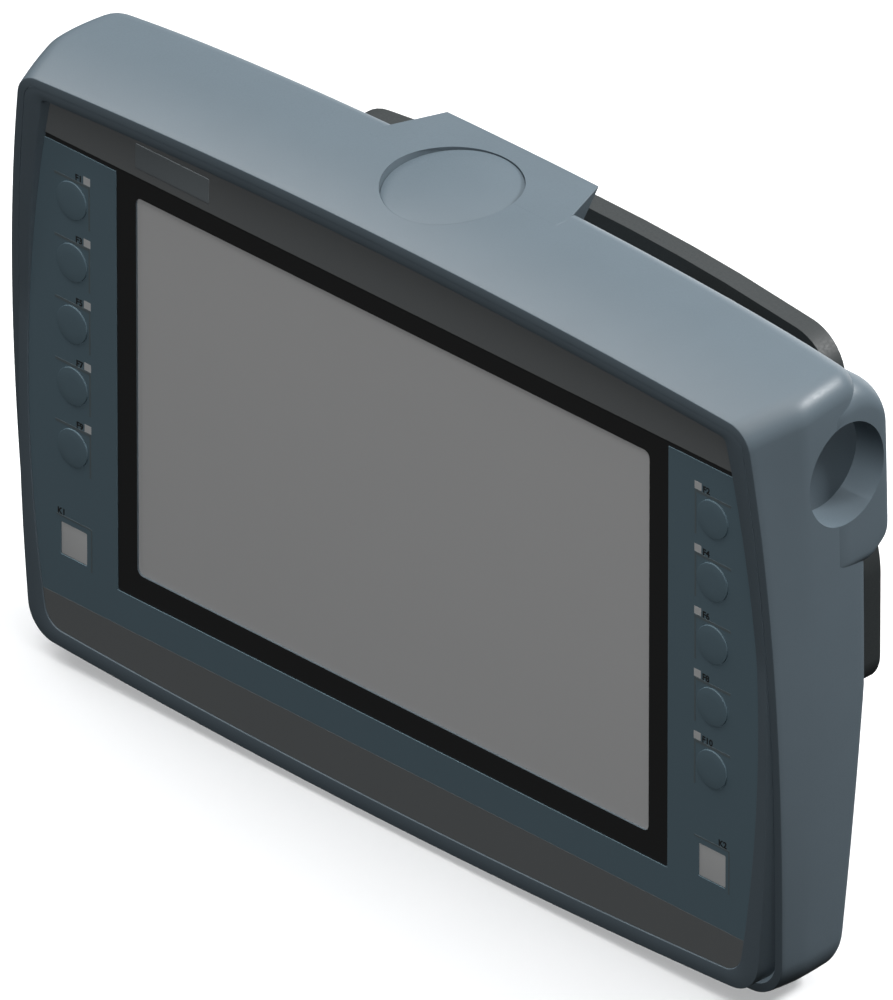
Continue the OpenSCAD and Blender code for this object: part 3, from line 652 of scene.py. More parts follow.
# ---------------------------------------------------------------- pieces of the housing
SEAT_LO, SEAT_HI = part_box("stop_seat")
SEAT_TILT = math.radians(5.7)
SEAT_Y = 23.65 * MM
SEAT_R = (SEAT_HI.x - SEAT_LO.x) / 2
PORT_LO, PORT_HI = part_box("port_plate")
PORT_Y = (PORT_LO.y + PORT_HI.y) / 2
PORT_Z = (PORT_LO.z + PORT_HI.z) / 2
PORT_R = next(m["dims"]["r_mm"] for m in frame["record"]["mounts"]
              if m["name"] == "service_port") * MM
SWELL_START = 25 * MM    # depth at which the port's swelling leaves the side
SWELL_TAPER = 0.045


def seat_axis():
    """Middle of the seat's face and the direction it faces."""
    normal = Vector((0, -math.sin(SEAT_TILT), math.cos(SEAT_TILT)))
    y = SEAT_Y + FILM_Y
    z = SEAT_HI.z - SEAT_R * math.sin(SEAT_TILT)
    return Vector((0, y, z)), normal


def corner_slack(x, z):
    """How much deeper the rear fillet reaches towards the two upper corners."""
    return upper_share(z) * (1 + 3 * (x / HALF_W) ** 2 + 3 * (x / HALF_W) ** 8) * MM


def main_shell():
    """The hollow housing: inner wall, rim, skin, rear fillet and the lip round the rear cover."""
    s = housing_settings()
    wall, edge, fillet = s.wall, s.rim_edge, s.back_fillet
    lip, lip_t, inner_depth = 20 * MM, 4 * MM, 12 * MM

    def rear_start(x, z):
        """Depth at which the rear fillet begins."""
        return back_y(z) - fillet - corner_slack(x, z)

    rows = [(lambda x, z: rim_y(z) + inner_depth, wall, 0), (lambda x, z: rim_y(z), wall, 0)]
    for k in range(4):  # the rim's rounded edge
        a = math.radians(30 * k)
        rows.append((lambda x, z, a=a: rim_y(z) + edge * (1 - math.cos(a)),
                     edge * (1 - math.sin(a)), 0))
    skin_rows = 17
    for k in range(1, skin_rows + 1):
        t = k / skin_rows
        rows.append((lambda x, z, t=t: (rim_y(z) + edge) * (1 - t) + rear_start(x, z) * t, 0, 0))
    for k in range(1, 11):  # the rear fillet
        a = math.radians(9 * k)
        rows.append((lambda x, z, a=a: back_y(z) + (rear_start(x, z) - back_y(z))
                     * (1 - math.sin(a)), 0, fillet * (1 - math.cos(a))))
    rows += [(lambda x, z: back_y(z), lip, 0), (lambda x, z: back_y(z) - lip_t, lip, 0),
             (lambda x, z: back_y(z) - lip_t, wall, 0)]
    return loft("housing_shell", [housing_ring(*row) for row in rows], tube=True)


def port_cutter():
    """What the service port takes out of the housing."""
    start = Vector((PORT_HI.x - 8 * MM, PORT_Y, PORT_Z))
    return cylinder("cutter", start, start + Vector((40 * MM, 0, 0)), PORT_R)


def seat_cutter():
    """What the switch seat takes out of the housing."""
    middle, normal = seat_axis()
    return cylinder("cutter", middle - normal * 12 * MM, middle + normal * 20 * MM,
                    SEAT_R + 0.15 * MM)


def swelling_x(y, z):
    """Where the skin of the swelling is, behind the level at which it leaves the side."""
    return side_x(SWELL_START, z) - SWELL_TAPER * (y - SWELL_START)


def port_swelling():
    """The swelling behind the service port, with its rounded rear edge and slanted foot."""
    middle = PORT_Z - DISPLAY_Z
    low, high, rear = middle - 31 * MM, middle + 25 * MM, 46.3 * MM
    round_low, round_top, edge = 4 * MM, 8 * MM, 3 * MM
    top_from, top_r = 34 * MM, 9 * MM
    foot_from, foot_rise = 39 * MM, 0.75
    inner_x = 112 * MM

    def ring(y, inset):
        """One section; its top comes down and its foot rises towards the back."""
        head = high - inset - max(0.0, y - top_from) ** 2 / (2 * top_r)
        foot = low + inset + max(0.0, y - foot_from) * foot_rise
        sunk = max(0.0, SWELL_START - y) * 0.5 + 0.02 * MM
        shape = []

        def right(z):
            """The skin at a height, or just inside the side where it has yet to leave it."""
            return swelling_x(max(y, SWELL_START), z) - inset - sunk

        for k in range(13):
            a = math.radians(90 - 90 * k / 12)
            z = head - round_top * (1 - math.sin(a))
            shape.append((right(z) - round_top * (1 - math.cos(a)), z))
        for k in range(1, 12):
            z = (head - round_top) + (foot + round_low - head + round_top) * k / 12
            shape.append((right(z), z))
        for k in range(9):
            a = math.radians(-90 * k / 8)
            z = foot + round_low * (1 + math.sin(a))
            shape.append((right(z) - round_low * (1 - math.cos(a)), z))
        shape += [(inner_x, foot), (inner_x, head)]
        return [at(x, y, z) for x, z in shape]

    rows = [ring(y * MM, 0.0) for y in (18, 25, 30, 34, 36, 38, 40, 42)]
    for k in range(9):
        a = math.radians(90 * k / 8)
        rows.append(ring(rear - edge * (1 - math.sin(a)), edge * (1 - math.cos(a))))
    return loft("port_swelling", rows)


def collar():
    """The wedge behind the switch seat: flush on top, undercut at its sides and back."""
    s = housing_settings()
    front, back = 27 * MM, 50.5 * MM
    half_front, taper, taper_y = 36, 7.4 / 19.5, 31.5  # in millimetres
    low = 75 * MM
    lean, edge = 6.6 * MM, 0.25 * MM
    lift = 0.02 * MM  # keeps it just clear of the shell's own skin
    steps = 12

    def half_at(y):
        """Half the width, which shrinks behind the taper's start."""
        return (half_front - max(0.0, y / MM - taper_y) * taper) * MM

    def crown(x, y):
        """Height of the top, which follows the housing's."""
        return top_at(y) - x * x / (2 * s.crown_r) + lift

    def ring(inset, z_of):
        """A closed line round the wedge, at the heights that z_of gives."""
        front_in, back_in = front + inset, back - inset
        line = []
        for k in range(2 * steps + 1):
            y = front_in + (back_in - front_in) * k / (2 * steps)
            line.append((half_at(y) - inset, y))
        half = half_at(back_in) - inset
        for k in range(1, 2 * steps):
            line.append((half * (1 - k / steps), back_in))
        line += [(-x, y) for x, y in reversed(line[:2 * steps + 1])]
        half = half_at(front_in) - inset
        for k in range(1, 2 * steps):
            line.append((half * (k / steps - 1), front_in))
        return [at(x, y, z_of(x, y)) for x, y in line]

    rows = [ring(lean, lambda x, y: low), ring(0.0, lambda x, y: crown(x, y) - edge),
            ring(edge, crown)]
    rows += [ring(d * MM, crown) for d in (4, 8)]
    return loft("seat_collar", rows)


def port_lining():
    """The tube that lines the service port, from its floor to the skin."""
    inner, outer = PORT_R - 0.05 * MM, PORT_R + 1.6 * MM
    inner_end = PORT_HI.x - 1.4 * MM

    def ring(radius, x_of):
        """A circle about the port's axis, as far out as x_of gives."""
        points = []
        for a in full_turn(ROUND_SIDES):
            y, z = PORT_Y + radius * math.cos(a), PORT_Z + radius * math.sin(a)
            points.append(Vector((x_of(y - FILM_Y, z - DISPLAY_Z), y, z)))
        return points

    def skin(y, z):
        """The housing's side or the swelling, whichever the point is on."""
        return (side_x(y, z) if y < SWELL_START else swelling_x(y, z)) - 0.06 * MM

    rows = [ring(inner, lambda y, z: inner_end), ring(inner, skin),
            ring(outer, lambda y, z: skin(y, z) - 1.2 * MM),
            ring(outer, lambda y, z: inner_end)]
    return loft("port_lining", rows, tube=True)


def seat_lining():
    """The ring of the housing that the seat drops into."""
    s = housing_settings()
    middle = seat_axis()[0]
    inner, outer = SEAT_R + 0.1 * MM, SEAT_R + 1.6 * MM
    slope = math.tan(SEAT_TILT)

    def ring(radius, drop):
        """A ring that far below the seat's face, or with no drop, on the skin of the top."""
        points = []
        for a in full_turn(ROUND_SIDES):
            x, y = radius * math.cos(a), radius * math.sin(a)
            base = middle + Vector((x, y, y * slope))
            if drop is None:
                level = base.y - FILM_Y
                base.z = DISPLAY_Z + top_at(level) - x * x / (2 * s.crown_r) - 0.06 * MM
            else:
                base.z -= drop
            points.append(base)
        return points

    rows = [ring(inner, 3.4 * MM), ring(inner, None), ring(outer, 1.5 * MM), ring(outer, 3.4 * MM)]
    return loft("seat_lining", rows, tube=True)


class PANEL_OT_housing(bpy.types.Operator):
    """Builds the moulded housing with its collar, swelling, seat and port"""
    bl_idname = "panel.housing"
    bl_label = "Housing"

    def execute(self, context):
        shell = carve(carve(main_shell(), port_cutter()), seat_cutter())
        swelling = carve(port_swelling(), port_cutter())
        block = carve(collar(), seat_cutter())
        housing = joined("housing", [shell, swelling, block, port_lining(), seat_lining()])
        deliver(paint(housing, housing_material()), BODY, ["main_housing"], 30)
        return {"FINISHED"}


class PANEL_OT_seat(bpy.types.Operator):
    """Builds the blanking disc of the stop switch and the floor of the service port"""
    bl_idname = "panel.seat"
    bl_label = "Switch seat and port floor"

    def execute(self, context):
        middle, normal = seat_axis()
        across = Vector((1, 0, 0))
        up = normal.cross(across)
        rows = []
        for depth, inset in ((9, 4.3), (3.2, 4.3), (3.2, 0), (0.2, 0), (0.06, 0.06), (0, 0.2)):
            rows.append([middle - normal * depth * MM + (SEAT_R - inset * MM)
                         * (across * math.cos(a) + up * math.sin(a))
                         for a in full_turn(ROUND_SIDES)])
        disc = loft("seat_disc", rows)
        deliver(paint(disc, housing_material()), BODY, ["stop_seat"], 30)
        start = Vector((PORT_LO.x, PORT_Y, PORT_Z))
        floor = cylinder("port_floor", start, Vector((PORT_HI.x, PORT_Y, PORT_Z)),
                         PORT_R + 0.5 * MM)
        floor = bevelled(floor, 0.2 * MM)
        deliver(paint(floor, housing_material()), BODY, ["port_plate"], 30)
        return {"FINISHED"}


# ---------------------------------------------------------------- front
MASK_LO, MASK_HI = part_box("window_mask")
TOUCH_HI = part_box("touch_screen")[1]
WINDOW_GAP = 0.8 * MM
WINDOW_HALF = TOUCH_HI.x + WINDOW_GAP
WINDOW_LOW = MASK_LO.z - DISPLAY_Z - 0.15 * MM
WINDOW_TOP = TOUCH_HI.z - DISPLAY_Z + WINDOW_GAP
STRIPE_TOP = MASK_HI.z - DISPLAY_Z
ACTIVE_W = LCD_HI.x - LCD_LO.x - 12 * MM
ACTIVE_H = LCD_HI.z - LCD_LO.z - 12 * MM
OPENING_HALF_W = ACTIVE_W / 2 + 0.4 * MM
OPENING_HALF_H = ACTIVE_H / 2 + 0.5 * MM
FILM_T = FILM_HI.y - FILM_LO.y
MASK_T = 0.6 * MM
FRAME_FACE, FRAME_BACK = 4.5 * MM, 7.5 * MM
TAPE_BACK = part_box("touch_tape")[1].y - FILM_Y
SQUARE_LO, SQUARE_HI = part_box("key_k2")
SQUARE_Z = (SQUARE_LO.z + SQUARE_HI.z) / 2 - DISPLAY_Z
FLANGE = 1.3 * MM        # how much wider a key's flange is than its cap
SQUARE_HALF = (SQUARE_HI.x - SQUARE_LO.x) / 2 - FLANGE
KEY_R = (KEY_HI.x - KEY_LO.x) / 2 - FLANGE
KEY_HOLE = KEY_R + 0.3 * MM


def film_outline(inset=0.0):
    """The outline of the films, which follows the housing's."""
    wall = housing_settings().wall
    return outline(wall + 3.5 * MM + inset, wall + 3.2 * MM + inset, wall + 4.8 * MM + inset,
                   housing_settings().film_r, FILM_PEAK)


class PANEL_OT_front_frame(bpy.types.Operator):
    """Builds the front frame: the ridge round the films and the plate that carries them"""
    bl_idname = "panel.front_frame"
    bl_label = "Front frame"

    def execute(self, context):
        s, f = housing_settings(), front_settings()
        step = s.wall - 0.02 * MM
        outer = outline(step, step, step)
        inner = film_outline()
        round_out, round_in = 0.02 * MM, 0.25 * MM

        def front(z):
            """Depth of the ridge's face: level with the rim, or proud of the films."""
            return min(-f.ridge_proud, rim_y(z) + 0.01 * MM)

        def ring(from_outer, from_inner, y_of):
            """Points on the way from the outer to the inner outline, at a distance from one."""
            line = []
            for (ax, az), (bx, bz) in zip(outer, inner):
                a, b = Vector((ax, az)), Vector((bx, bz))
                way = (b - a).normalized()
                p = a + way * from_outer if from_inner is None else b - way * from_inner
                line.append(at(p.x, y_of(p.y), p.y))
            return line

        rows = [ring(0, None, lambda z: FRAME_BACK)]
        for k in range(5):
            a = math.radians(22.5 * k)
            rows.append(ring(round_out * (1 - math.cos(a)), None,
                             lambda z, a=a: front(z) + round_out * (1 - math.sin(a))))
        for k in range(5):
            a = math.radians(22.5 * k)
            rows.append(ring(0, round_in * (1 - math.sin(a)),
                             lambda z, a=a: front(z) + round_in * (1 - math.cos(a))))
        rows += [ring(0, 0, lambda z: FRAME_FACE), ring(0, 0, lambda z: FRAME_BACK)]
        ridge = loft("ridge", rows, tube=True)
        half_w, half_h = ACTIVE_W / 2 + 2 * MM, ACTIVE_H / 2 + 2 * MM
        plate = sheet("plate", [film_outline(0.05 * MM),
                                rounded_box(-half_w, -half_h, half_w, half_h, 2 * MM)],
                      TAPE_BACK, FRAME_FACE)
        piece = joined("front_frame_moulding", [ridge, plate])
        deliver(paint(piece, frame_material()), BODY, ["front_frame"], 30)
        return {"FINISHED"}


def key_heights():
    """Heights of the rows of round keys, from the top."""
    top = (KEY_LO.z + KEY_HI.z) / 2 - DISPLAY_Z
    low_lo, low_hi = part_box("key_f10")
    bottom = (low_lo.z + low_hi.z) / 2 - DISPLAY_Z
    rows = front_settings().rows
    return [top + (bottom - top) * i / (rows - 1) for i in range(rows)]


def square_around(x, half, corner, steps=6):
    """A rounded square at the height of the square keys."""
    return rounded_box(x - half, SQUARE_Z - half, x + half, SQUARE_Z + half, corner, steps)


def key_holes(low, high):
    """The outlines of the key openings between two heights."""
    loops = []
    for side in (-1, 1):
        for z in key_heights():
            if low < z < high:
                loops.append(circle_points(side * KEY_X, z, KEY_HOLE))
        if low < SQUARE_Z < high:
            loops.append(square_around(side * KEY_X, SQUARE_HALF + 0.1 * MM, 0.3 * MM, 3))
    return loops


def clipped(points, low, high):
    """The part of a convex outline between two heights."""
    for level, keep in ((low, 1), (high, -1)):
        kept = []
        for (x0, z0), (x1, z1) in zip(points, points[1:] + points[:1]):
            inside0, inside1 = (z0 - level) * keep >= 0, (z1 - level) * keep >= 0
            if inside0:
                kept.append((x0, z0))
            if inside0 != inside1:
                t = (level - z0) / (z1 - z0)
                kept.append((x0 + (x1 - x0) * t, level))
        points = kept
    return points


def window_notch(body, seam):
    """The key film's outline below the seam, with the window cut into its upper edge."""
    loop = [p for p in body if p[0] > 0] + [p for p in body if p[0] < 0]
    tops = [i for i, p in enumerate(loop) if abs(p[1] - seam) < 1e-7]
    first = max(tops, key=lambda i: loop[i][0])
    turned = loop[first:] + loop[:first]
    if turned[1][1] > seam - 1e-7:
        turned = list(reversed(turned))
        turned = turned[-1:] + turned[:-1]
    return turned + [(-WINDOW_HALF, seam), (-WINDOW_HALF, WINDOW_LOW), (WINDOW_HALF, WINDOW_LOW),
                     (WINDOW_HALF, seam)]


class PANEL_OT_films(bpy.types.Operator):
    """Builds the three printed films and the black window mask"""
    bl_idname = "panel.films"
    bl_label = "Films"

    def execute(self, context):
        edge, flat = 0.06 * MM, 8
        film = film_outline(0.1 * MM)
        footer_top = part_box("footer_film")[1].z - DISPLAY_Z
        seam = WINDOW_TOP - 0.02 * MM
        for name, node, low, high in (("header_print", "header_film", STRIPE_TOP, 1.0),
                                      ("footer_print", "footer_film", -1.0, footer_top)):
            piece = sheet(name, [clipped(film, low, high)], 0.0, FILM_T, edge)
            deliver(paint(piece, band_material()), BODY, [node], flat)
        loop = window_notch(clipped(film, footer_top, seam), seam)
        piece = sheet("key_print", [loop] + key_holes(footer_top, seam), 0.0, FILM_T, edge)
        deliver(paint(piece, film_material()), BODY, ["key_film"], flat)
        window = rounded_box(-WINDOW_HALF, WINDOW_LOW, WINDOW_HALF, WINDOW_TOP + 0.2 * MM,
                             1.5 * MM)
        opening = rounded_box(-OPENING_HALF_W, -OPENING_HALF_H, OPENING_HALF_W, OPENING_HALF_H,
                              2 * MM)
        stripe = clipped(film, WINDOW_TOP - 1.5 * MM, STRIPE_TOP + 0.4 * MM)
        mask = joined("mask", [
            sheet("mask_print", [window, opening], FILM_T, FILM_T + MASK_T),
            sheet("stripe", [stripe], FILM_T + 0.01 * MM, FILM_T + MASK_T - 0.01 * MM)])
        deliver(paint(mask, mask_material()), BODY, ["window_mask"])
        return {"FINISHED"}


class PANEL_OT_display(bpy.types.Operator):
    """Builds the touch screen with its ground edge, and the blank name plate"""
    bl_idname = "panel.display"
    bl_label = "Display"

    def execute(self, context):
        face = FILM_T + MASK_T
        slope = 0.04 * MM
        glass = sheet("glass", [rounded_box(-WINDOW_HALF + WINDOW_GAP, WINDOW_LOW + WINDOW_GAP,
                                            WINDOW_HALF - WINDOW_GAP, WINDOW_TOP - WINDOW_GAP,
                                            1.5 * MM)], face, face + 1.8 * MM)
        paint(glass, display_material())

        def ring(inset, y):
            """The opening's outline, set in, at one depth."""
            half_w, half_h = OPENING_HALF_W - inset, OPENING_HALF_H - inset
            return [at(x, y, z) for x, z in rounded_box(-half_w, -half_h, half_w, half_h,
                                                        2 * MM - inset, 8)]

        rim = loft("glass_rim", [ring(0.0, FILM_T + 0.05 * MM), ring(slope, face - 0.02 * MM),
                                 ring(0.0, face - 0.01 * MM)], tube=True)
        paint(rim, housing_material())
        piece = joined("touch_glass", [glass, rim])
        deliver(piece, BODY, ["touch_screen"], 20)
        lo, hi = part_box("name_plate")
        plate = sheet("blank_plate", [rounded_box(lo.x, lo.z - DISPLAY_Z, hi.x, hi.z - DISPLAY_Z,
                                                  0.5 * MM)], lo.y - FILM_Y, hi.y - FILM_Y,
                      0.06 * MM)
        deliver(paint(plate, plate_material()), BODY, ["name_plate"])
        return {"FINISHED"}


def key_profile():
    """Radius and depth along a round key: flange, shaft, rounded edge and crowned face."""
    edge = front_settings().key_round
    proud = FILM_Y - KEY_LO.y
    radius = KEY_HOLE - 0.06 * MM
    profile = [(radius + 1.0 * MM, 5.4 * MM), (radius + 1.0 * MM, 4.8 * MM), (KEY_R, 4.7 * MM),
               (radius, 0.9 * MM), (radius, edge - proud)]
    for k in range(1, 7):
        a = math.radians(15 * k)
        profile.append((radius - edge * (1 - math.cos(a)), edge * (1 - math.sin(a)) - proud))
    profile.append((radius * 0.5, -proud - 0.03 * MM))
    profile.append((radius * 0.1, -proud - 0.05 * MM))
    return profile


class PANEL_OT_keys(bpy.types.Operator):
    """Builds the round and square keys, each on its own body"""
    bl_idname = "panel.keys"
    bl_label = "Keys"

    def execute(self, context):
        profile = key_profile()
        for number in range(1, 11):
            node = f"key_f{number}"
            lo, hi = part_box(node)
            x, z = (lo.x + hi.x) / 2, (lo.z + hi.z) / 2
            rows = [[Vector((x + r * math.cos(a), FILM_Y + y, z + r * math.sin(a)))
                     for a in full_turn(72)] for r, y in profile]
            key = loft(f"round_key_{number}", rows)
            deliver(paint(key, film_material()), node + "_body", [node], 60)
        edge = 0.1 * MM
        for number in (1, 2):
            node = f"key_k{number}"
            lo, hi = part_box(node)
            x = (lo.x + hi.x) / 2
            cap = joined(f"square_key_{number}", [
                sheet("cap", [square_around(x, SQUARE_HALF, 0.3 * MM, 3)],
                      0.2 * MM, 4.7 * MM, edge),
                sheet("flange", [square_around(x, SQUARE_HALF + 1.2 * MM, 0.6 * MM)],
                      4.72 * MM, 5.4 * MM, edge)])
            deliver(paint(cap, mark_material()), node + "_body", [node])
        return {"FINISHED"}


# ---------------------------------------------------------------- repeated pieces
def instanced(name, points, build, inputs, material):
    """Points become instances of what build makes, realised and baked to a plain mesh."""
    piece = new_object(name, mesh_from(name, points, []))
    tree = bpy.data.node_groups.new(name, "GeometryNodeTree")
    tree.interface.new_socket("Geometry", in_out="INPUT", socket_type="NodeSocketGeometry")
    sockets = {}
    for label, value in inputs.items():
        socket = tree.interface.new_socket(label, in_out="INPUT", socket_type="NodeSocketFloat")
        socket.default_value = value
        sockets[label] = socket.identifier
    tree.interface.new_socket("Geometry", in_out="OUTPUT", socket_type="NodeSocketGeometry")
    source = add_node(tree, "NodeGroupInput")
    shape, output = build(tree, source)
    spread = add_node(tree, "GeometryNodeInstanceOnPoints",
                      links={"Points": (source, "Geometry"), "Instance": (shape, output)})
    real = add_node(tree, "GeometryNodeRealizeInstances", links={"Geometry": (spread, "Instances")})
    coated = add_node(tree, "GeometryNodeSetMaterial", {"Material": material},
                      {"Geometry": (real, "Geometry")})
    out = add_node(tree, "NodeGroupOutput")
    tree.links.new(coated.outputs["Geometry"], out.inputs["Geometry"])
    modifier = piece.modifiers.new(name, "NODES")
    modifier.node_group = tree
    for label, value in inputs.items():
        modifier[sockets[label]] = value
    return paint(baked(piece), material)


def box_builder(tree, source):
    """A small block; its three sizes are inputs."""
    size = add_node(tree, "ShaderNodeCombineXYZ",
                    links={"X": (source, "Width"), "Y": (source, "Depth"), "Z": (source, "Height")})
    block = add_node(tree, "GeometryNodeMeshCube", links={"Size": (size, "Vector")})
    return block, "Mesh"


def screw_builder(tree, source):
    """A low cylinder head with a hexagonal socket, along Y."""
    head = add_node(tree, "GeometryNodeMeshCylinder", {"Vertices": 32},
                    {"Radius": (source, "Head radius"), "Depth": (source, "Head depth")})
    socket = add_node(tree, "GeometryNodeMeshCylinder", {"Vertices": 6},
                      {"Radius": (source, "Socket radius"), "Depth": (source, "Head depth")})
    up = add_node(tree, "ShaderNodeCombineXYZ", links={"Z": (source, "Socket lift")})
    raised = add_node(tree, "GeometryNodeTransform",
                      links={"Geometry": (socket, "Mesh"), "Translation": (up, "Vector")})
    cut = add_node(tree, "GeometryNodeMeshBoolean", links={"Mesh 1": (head, "Mesh"),
                                                           "Mesh 2": (raised, "Geometry")},
                   operation="DIFFERENCE")
    turned = add_node(tree, "GeometryNodeTransform",
                      {"Rotation": (-math.pi / 2, 0, 0)}, {"Geometry": (cut, "Mesh")})
    return turned, "Geometry"


def solids_of(node):
    """The boxes of a node's separate solids."""
    work = bmesh.new()
    work.from_mesh(NODES[node].data)
    bmesh.ops.remove_doubles(work, verts=work.verts, dist=1e-6)
    seen, boxes = set(), []
    for start in work.verts:
        if start in seen:
            continue
        group, front = [], [start]
        seen.add(start)
        while front:
            v = front.pop()
            group.append(v.co.copy())
            for e in v.link_edges:
                other = e.other_vert(v)
                if other not in seen:
                    seen.add(other)
                    front.append(other)
        boxes.append((Vector(min(c[i] for c in group) for i in range(3)),
                      Vector(max(c[i] for c in group) for i in range(3))))
    work.free()
    return boxes


class PANEL_OT_screws(bpy.types.Operator):
    """Builds the heads of the visible screws with Geometry Nodes"""
    bl_idname = "panel.screws"
    bl_label = "Screws"

    def execute(self, context):
        head = {"Head radius": 2.8 * MM, "Head depth": 2.0 * MM, "Socket radius": 1.3 * MM,
                "Socket lift": 1.0 * MM}
        for node in ("rear_screws", "compartment_screws", "strut_screws"):
            points, shanks = [], []
            for lo, hi in solids_of(node):
                x, z = (lo.x + hi.x) / 2, (lo.z + hi.z) / 2
                points.append(Vector((x, hi.y - MM, z)))
                shank = cylinder("shank", Vector((x, lo.y, z)), Vector((x, hi.y - 1.9 * MM, z)),
                                 1.5 * MM, 20)
                shanks.append(paint(shank, steel_material()))
            heads = instanced(node + "_heads", points, screw_builder, head, steel_material())
            piece = joined(node + "_set", [bevelled(heads, 0.2 * MM)] + shanks)
            deliver(piece, BODY, [node])
        return {"FINISHED"}


LABEL_X, LABEL_UP = 118.3 * MM, 6.95 * MM      # from the display's middle, and over a key's
SQUARE_LABELS = (("K1", -128.5 * MM, "LEFT"), ("K2", 127.8 * MM, "RIGHT"))
SQUARE_LABEL_Z = -51.8 * MM
LINE_T = 0.08 * MM
LINE_LEVEL = FILM_Y - 0.02 * MM


def label(words, x, z, align):
    """A key's number in plain lettering, as a thin print on the film."""
    thick = 0.015 * MM
    curve = bpy.data.curves.new("label_" + words, "FONT")
    curve.body = words
    curve.size = front_settings().label_h * 1.45
    curve.offset = 0.09 * MM
    curve.align_x = align
    curve.extrude = thick
    curve.resolution_u = 4
    drawn = new_object("label_" + words, curve)
    mesh = evaluated_mesh(drawn)
    bpy.data.objects.remove(drawn)
    for vertex in mesh.vertices:
        u, v, depth = vertex.co
        vertex.co = at(x + u, -thick - depth, z + v)
    tidy_mesh(mesh, 1e-8)
    return paint(new_object("label_" + words, mesh), mask_material())


def film_lines(name, places, width, height):
    """Embossed lines of one size round the given middles, in X and Z."""
    points = [Vector((x, LINE_LEVEL, z + DISPLAY_Z)) for x, z in places]
    return instanced(name, points, box_builder,
                     {"Width": width, "Depth": LINE_T, "Height": height}, line_material())


class PANEL_OT_marks(bpy.types.Operator):
    """Builds the light windows, the embossed lines and the key numbers"""
    bl_idname = "panel.marks"
    bl_label = "Marks"

    def execute(self, context):
        f = front_settings()
        boxes = solids_of("led_windows")
        size = boxes[0][1] - boxes[0][0]
        points = [Vector(((lo.x + hi.x) / 2, FILM_Y + FILM_T / 2 - 0.02 * MM, (lo.z + hi.z) / 2))
                  for lo, hi in boxes]
        windows = instanced("light_windows", points, box_builder,
                            {"Width": size.x, "Depth": FILM_T, "Height": size.z},
                            mark_material())
        deliver(windows, BODY, ["led_windows"])
        heights = key_heights()
        over = [(side * 122.4 * MM, z + 6.4 * MM) for side in (-1, 1) for z in heights]
        beside = [(side * 115.6 * MM, z - 0.1 * MM) for side in (-1, 1) for z in heights]
        over_square = [(side * KEY_X, -52.2 * MM) for side in (-1, 1)]
        beside_square = [(x, -58.9 * MM) for x in (-115.3 * MM, 128.6 * MM)]
        lines = joined("key_lines", [
            film_lines("key_lines_across", over, 13.2 * MM, f.line_w),
            film_lines("key_lines_down", beside, f.line_w * 0.7, 13.8 * MM),
            film_lines("square_key_lines", over_square, 13.4 * MM, 0.5 * MM),
            film_lines("square_key_posts", beside_square, 0.5 * MM, 13.4 * MM)])
        deliver(lines, BODY)
        labels = []
        for i, z in enumerate(heights):
            labels.append(label(f"F{2 * i + 1}", -LABEL_X, z + LABEL_UP, "RIGHT"))
            labels.append(label(f"F{2 * i + 2}", LABEL_X, z + LABEL_UP, "LEFT"))
        labels += [label(words, x, SQUARE_LABEL_Z, align) for words, x, align in SQUARE_LABELS]
        deliver(joined("key_numbers", labels), BODY)
        return {"FINISHED"}


# ---------------------------------------------------------------- rear
class PANEL_OT_rear(bpy.types.Operator):
    """Builds the rear cover, the grip ring with its struts, and the compartment's pieces"""
    bl_idname = "panel.rear"
    bl_label = "Rear"

    def execute(self, context):
        pieces = (("rear_cover", 0.5, housing_material(), "housing"),
                  ("grip_ring", 1.4, grip_material(), "grip"),
                  ("grip_struts", 0.6, grip_material(), "grip"),
                  ("compartment_cover", 0.6, grip_material(), "black_plastic"),
                  ("cable_inlet", 0.4, grip_material(), "black_plastic"),
                  ("rating_plate", 0.08, plate_material(), "plate"))
        for node, edge, material, slot in pieces:
            piece = cad_copy(node, node + "_moulding", edge * MM)
            deliver(paint(piece, material), BODY, [node], 40)
        first_rib, rib_step, rib_count = 6 * MM, 3.5 * MM, 8
        for side in ("left", "right"):
            node = f"enable_button_{side}"
            piece = cad_copy(node, node + "_cap", 0.8 * MM, 3)
            lo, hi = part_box(node)
            face = lo.x if side == "left" else hi.x
            ribs = [Vector((face, (lo.y + hi.y) / 2, lo.z + first_rib + k * rib_step))
                    for k in range(rib_count)]
            band = instanced(node + "_ribs", ribs, box_builder,
                             {"Width": 0.8 * MM, "Depth": 11 * MM, "Height": 1.2 * MM},
                             soft_material())
            band = bevelled(band, 0.3 * MM)
            cap = joined(node + "_pad", [paint(piece, soft_material()), band])
            deliver(cap, node + "_body", [node], 40)
        return {"FINISHED"}


class PANEL_OT_inner(bpy.types.Operator):
    """Gives every CAD piece that stays its own finish"""
    bl_idname = "panel.inner"
    bl_label = "Inner pieces"

    def execute(self, context):
        finishes = {"seal": rubber_material(), "steel": steel_material(),
                    "board": board_material(), "lcd": steel_material(),
                    "switch": red_material(), "terminal": board_material(),
                    "ribbon": mark_material(), "black_plastic": grip_material()}
        slots = {p["node"]: p["material_slot"] for p in frame["record"]["subparts"]}
        for name, node in NODES.items():
            material = finishes.get(slots[name])
            if material:
                node.data.materials.clear()
                node.data.materials.append(material)
        return {"FINISHED"}


# ---------------------------------------------------------------- stage
LENS = 1500.0
SENSOR = 36.0
FRAME_HEIGHT = 0.2698    # what the upright view takes in from bottom to top, in metres
AZIMUTH = math.radians(45)
ELEVATION = math.radians(30)
FLOOR_HALF = 30.0
LIGHT_DISTANCE = 2.2
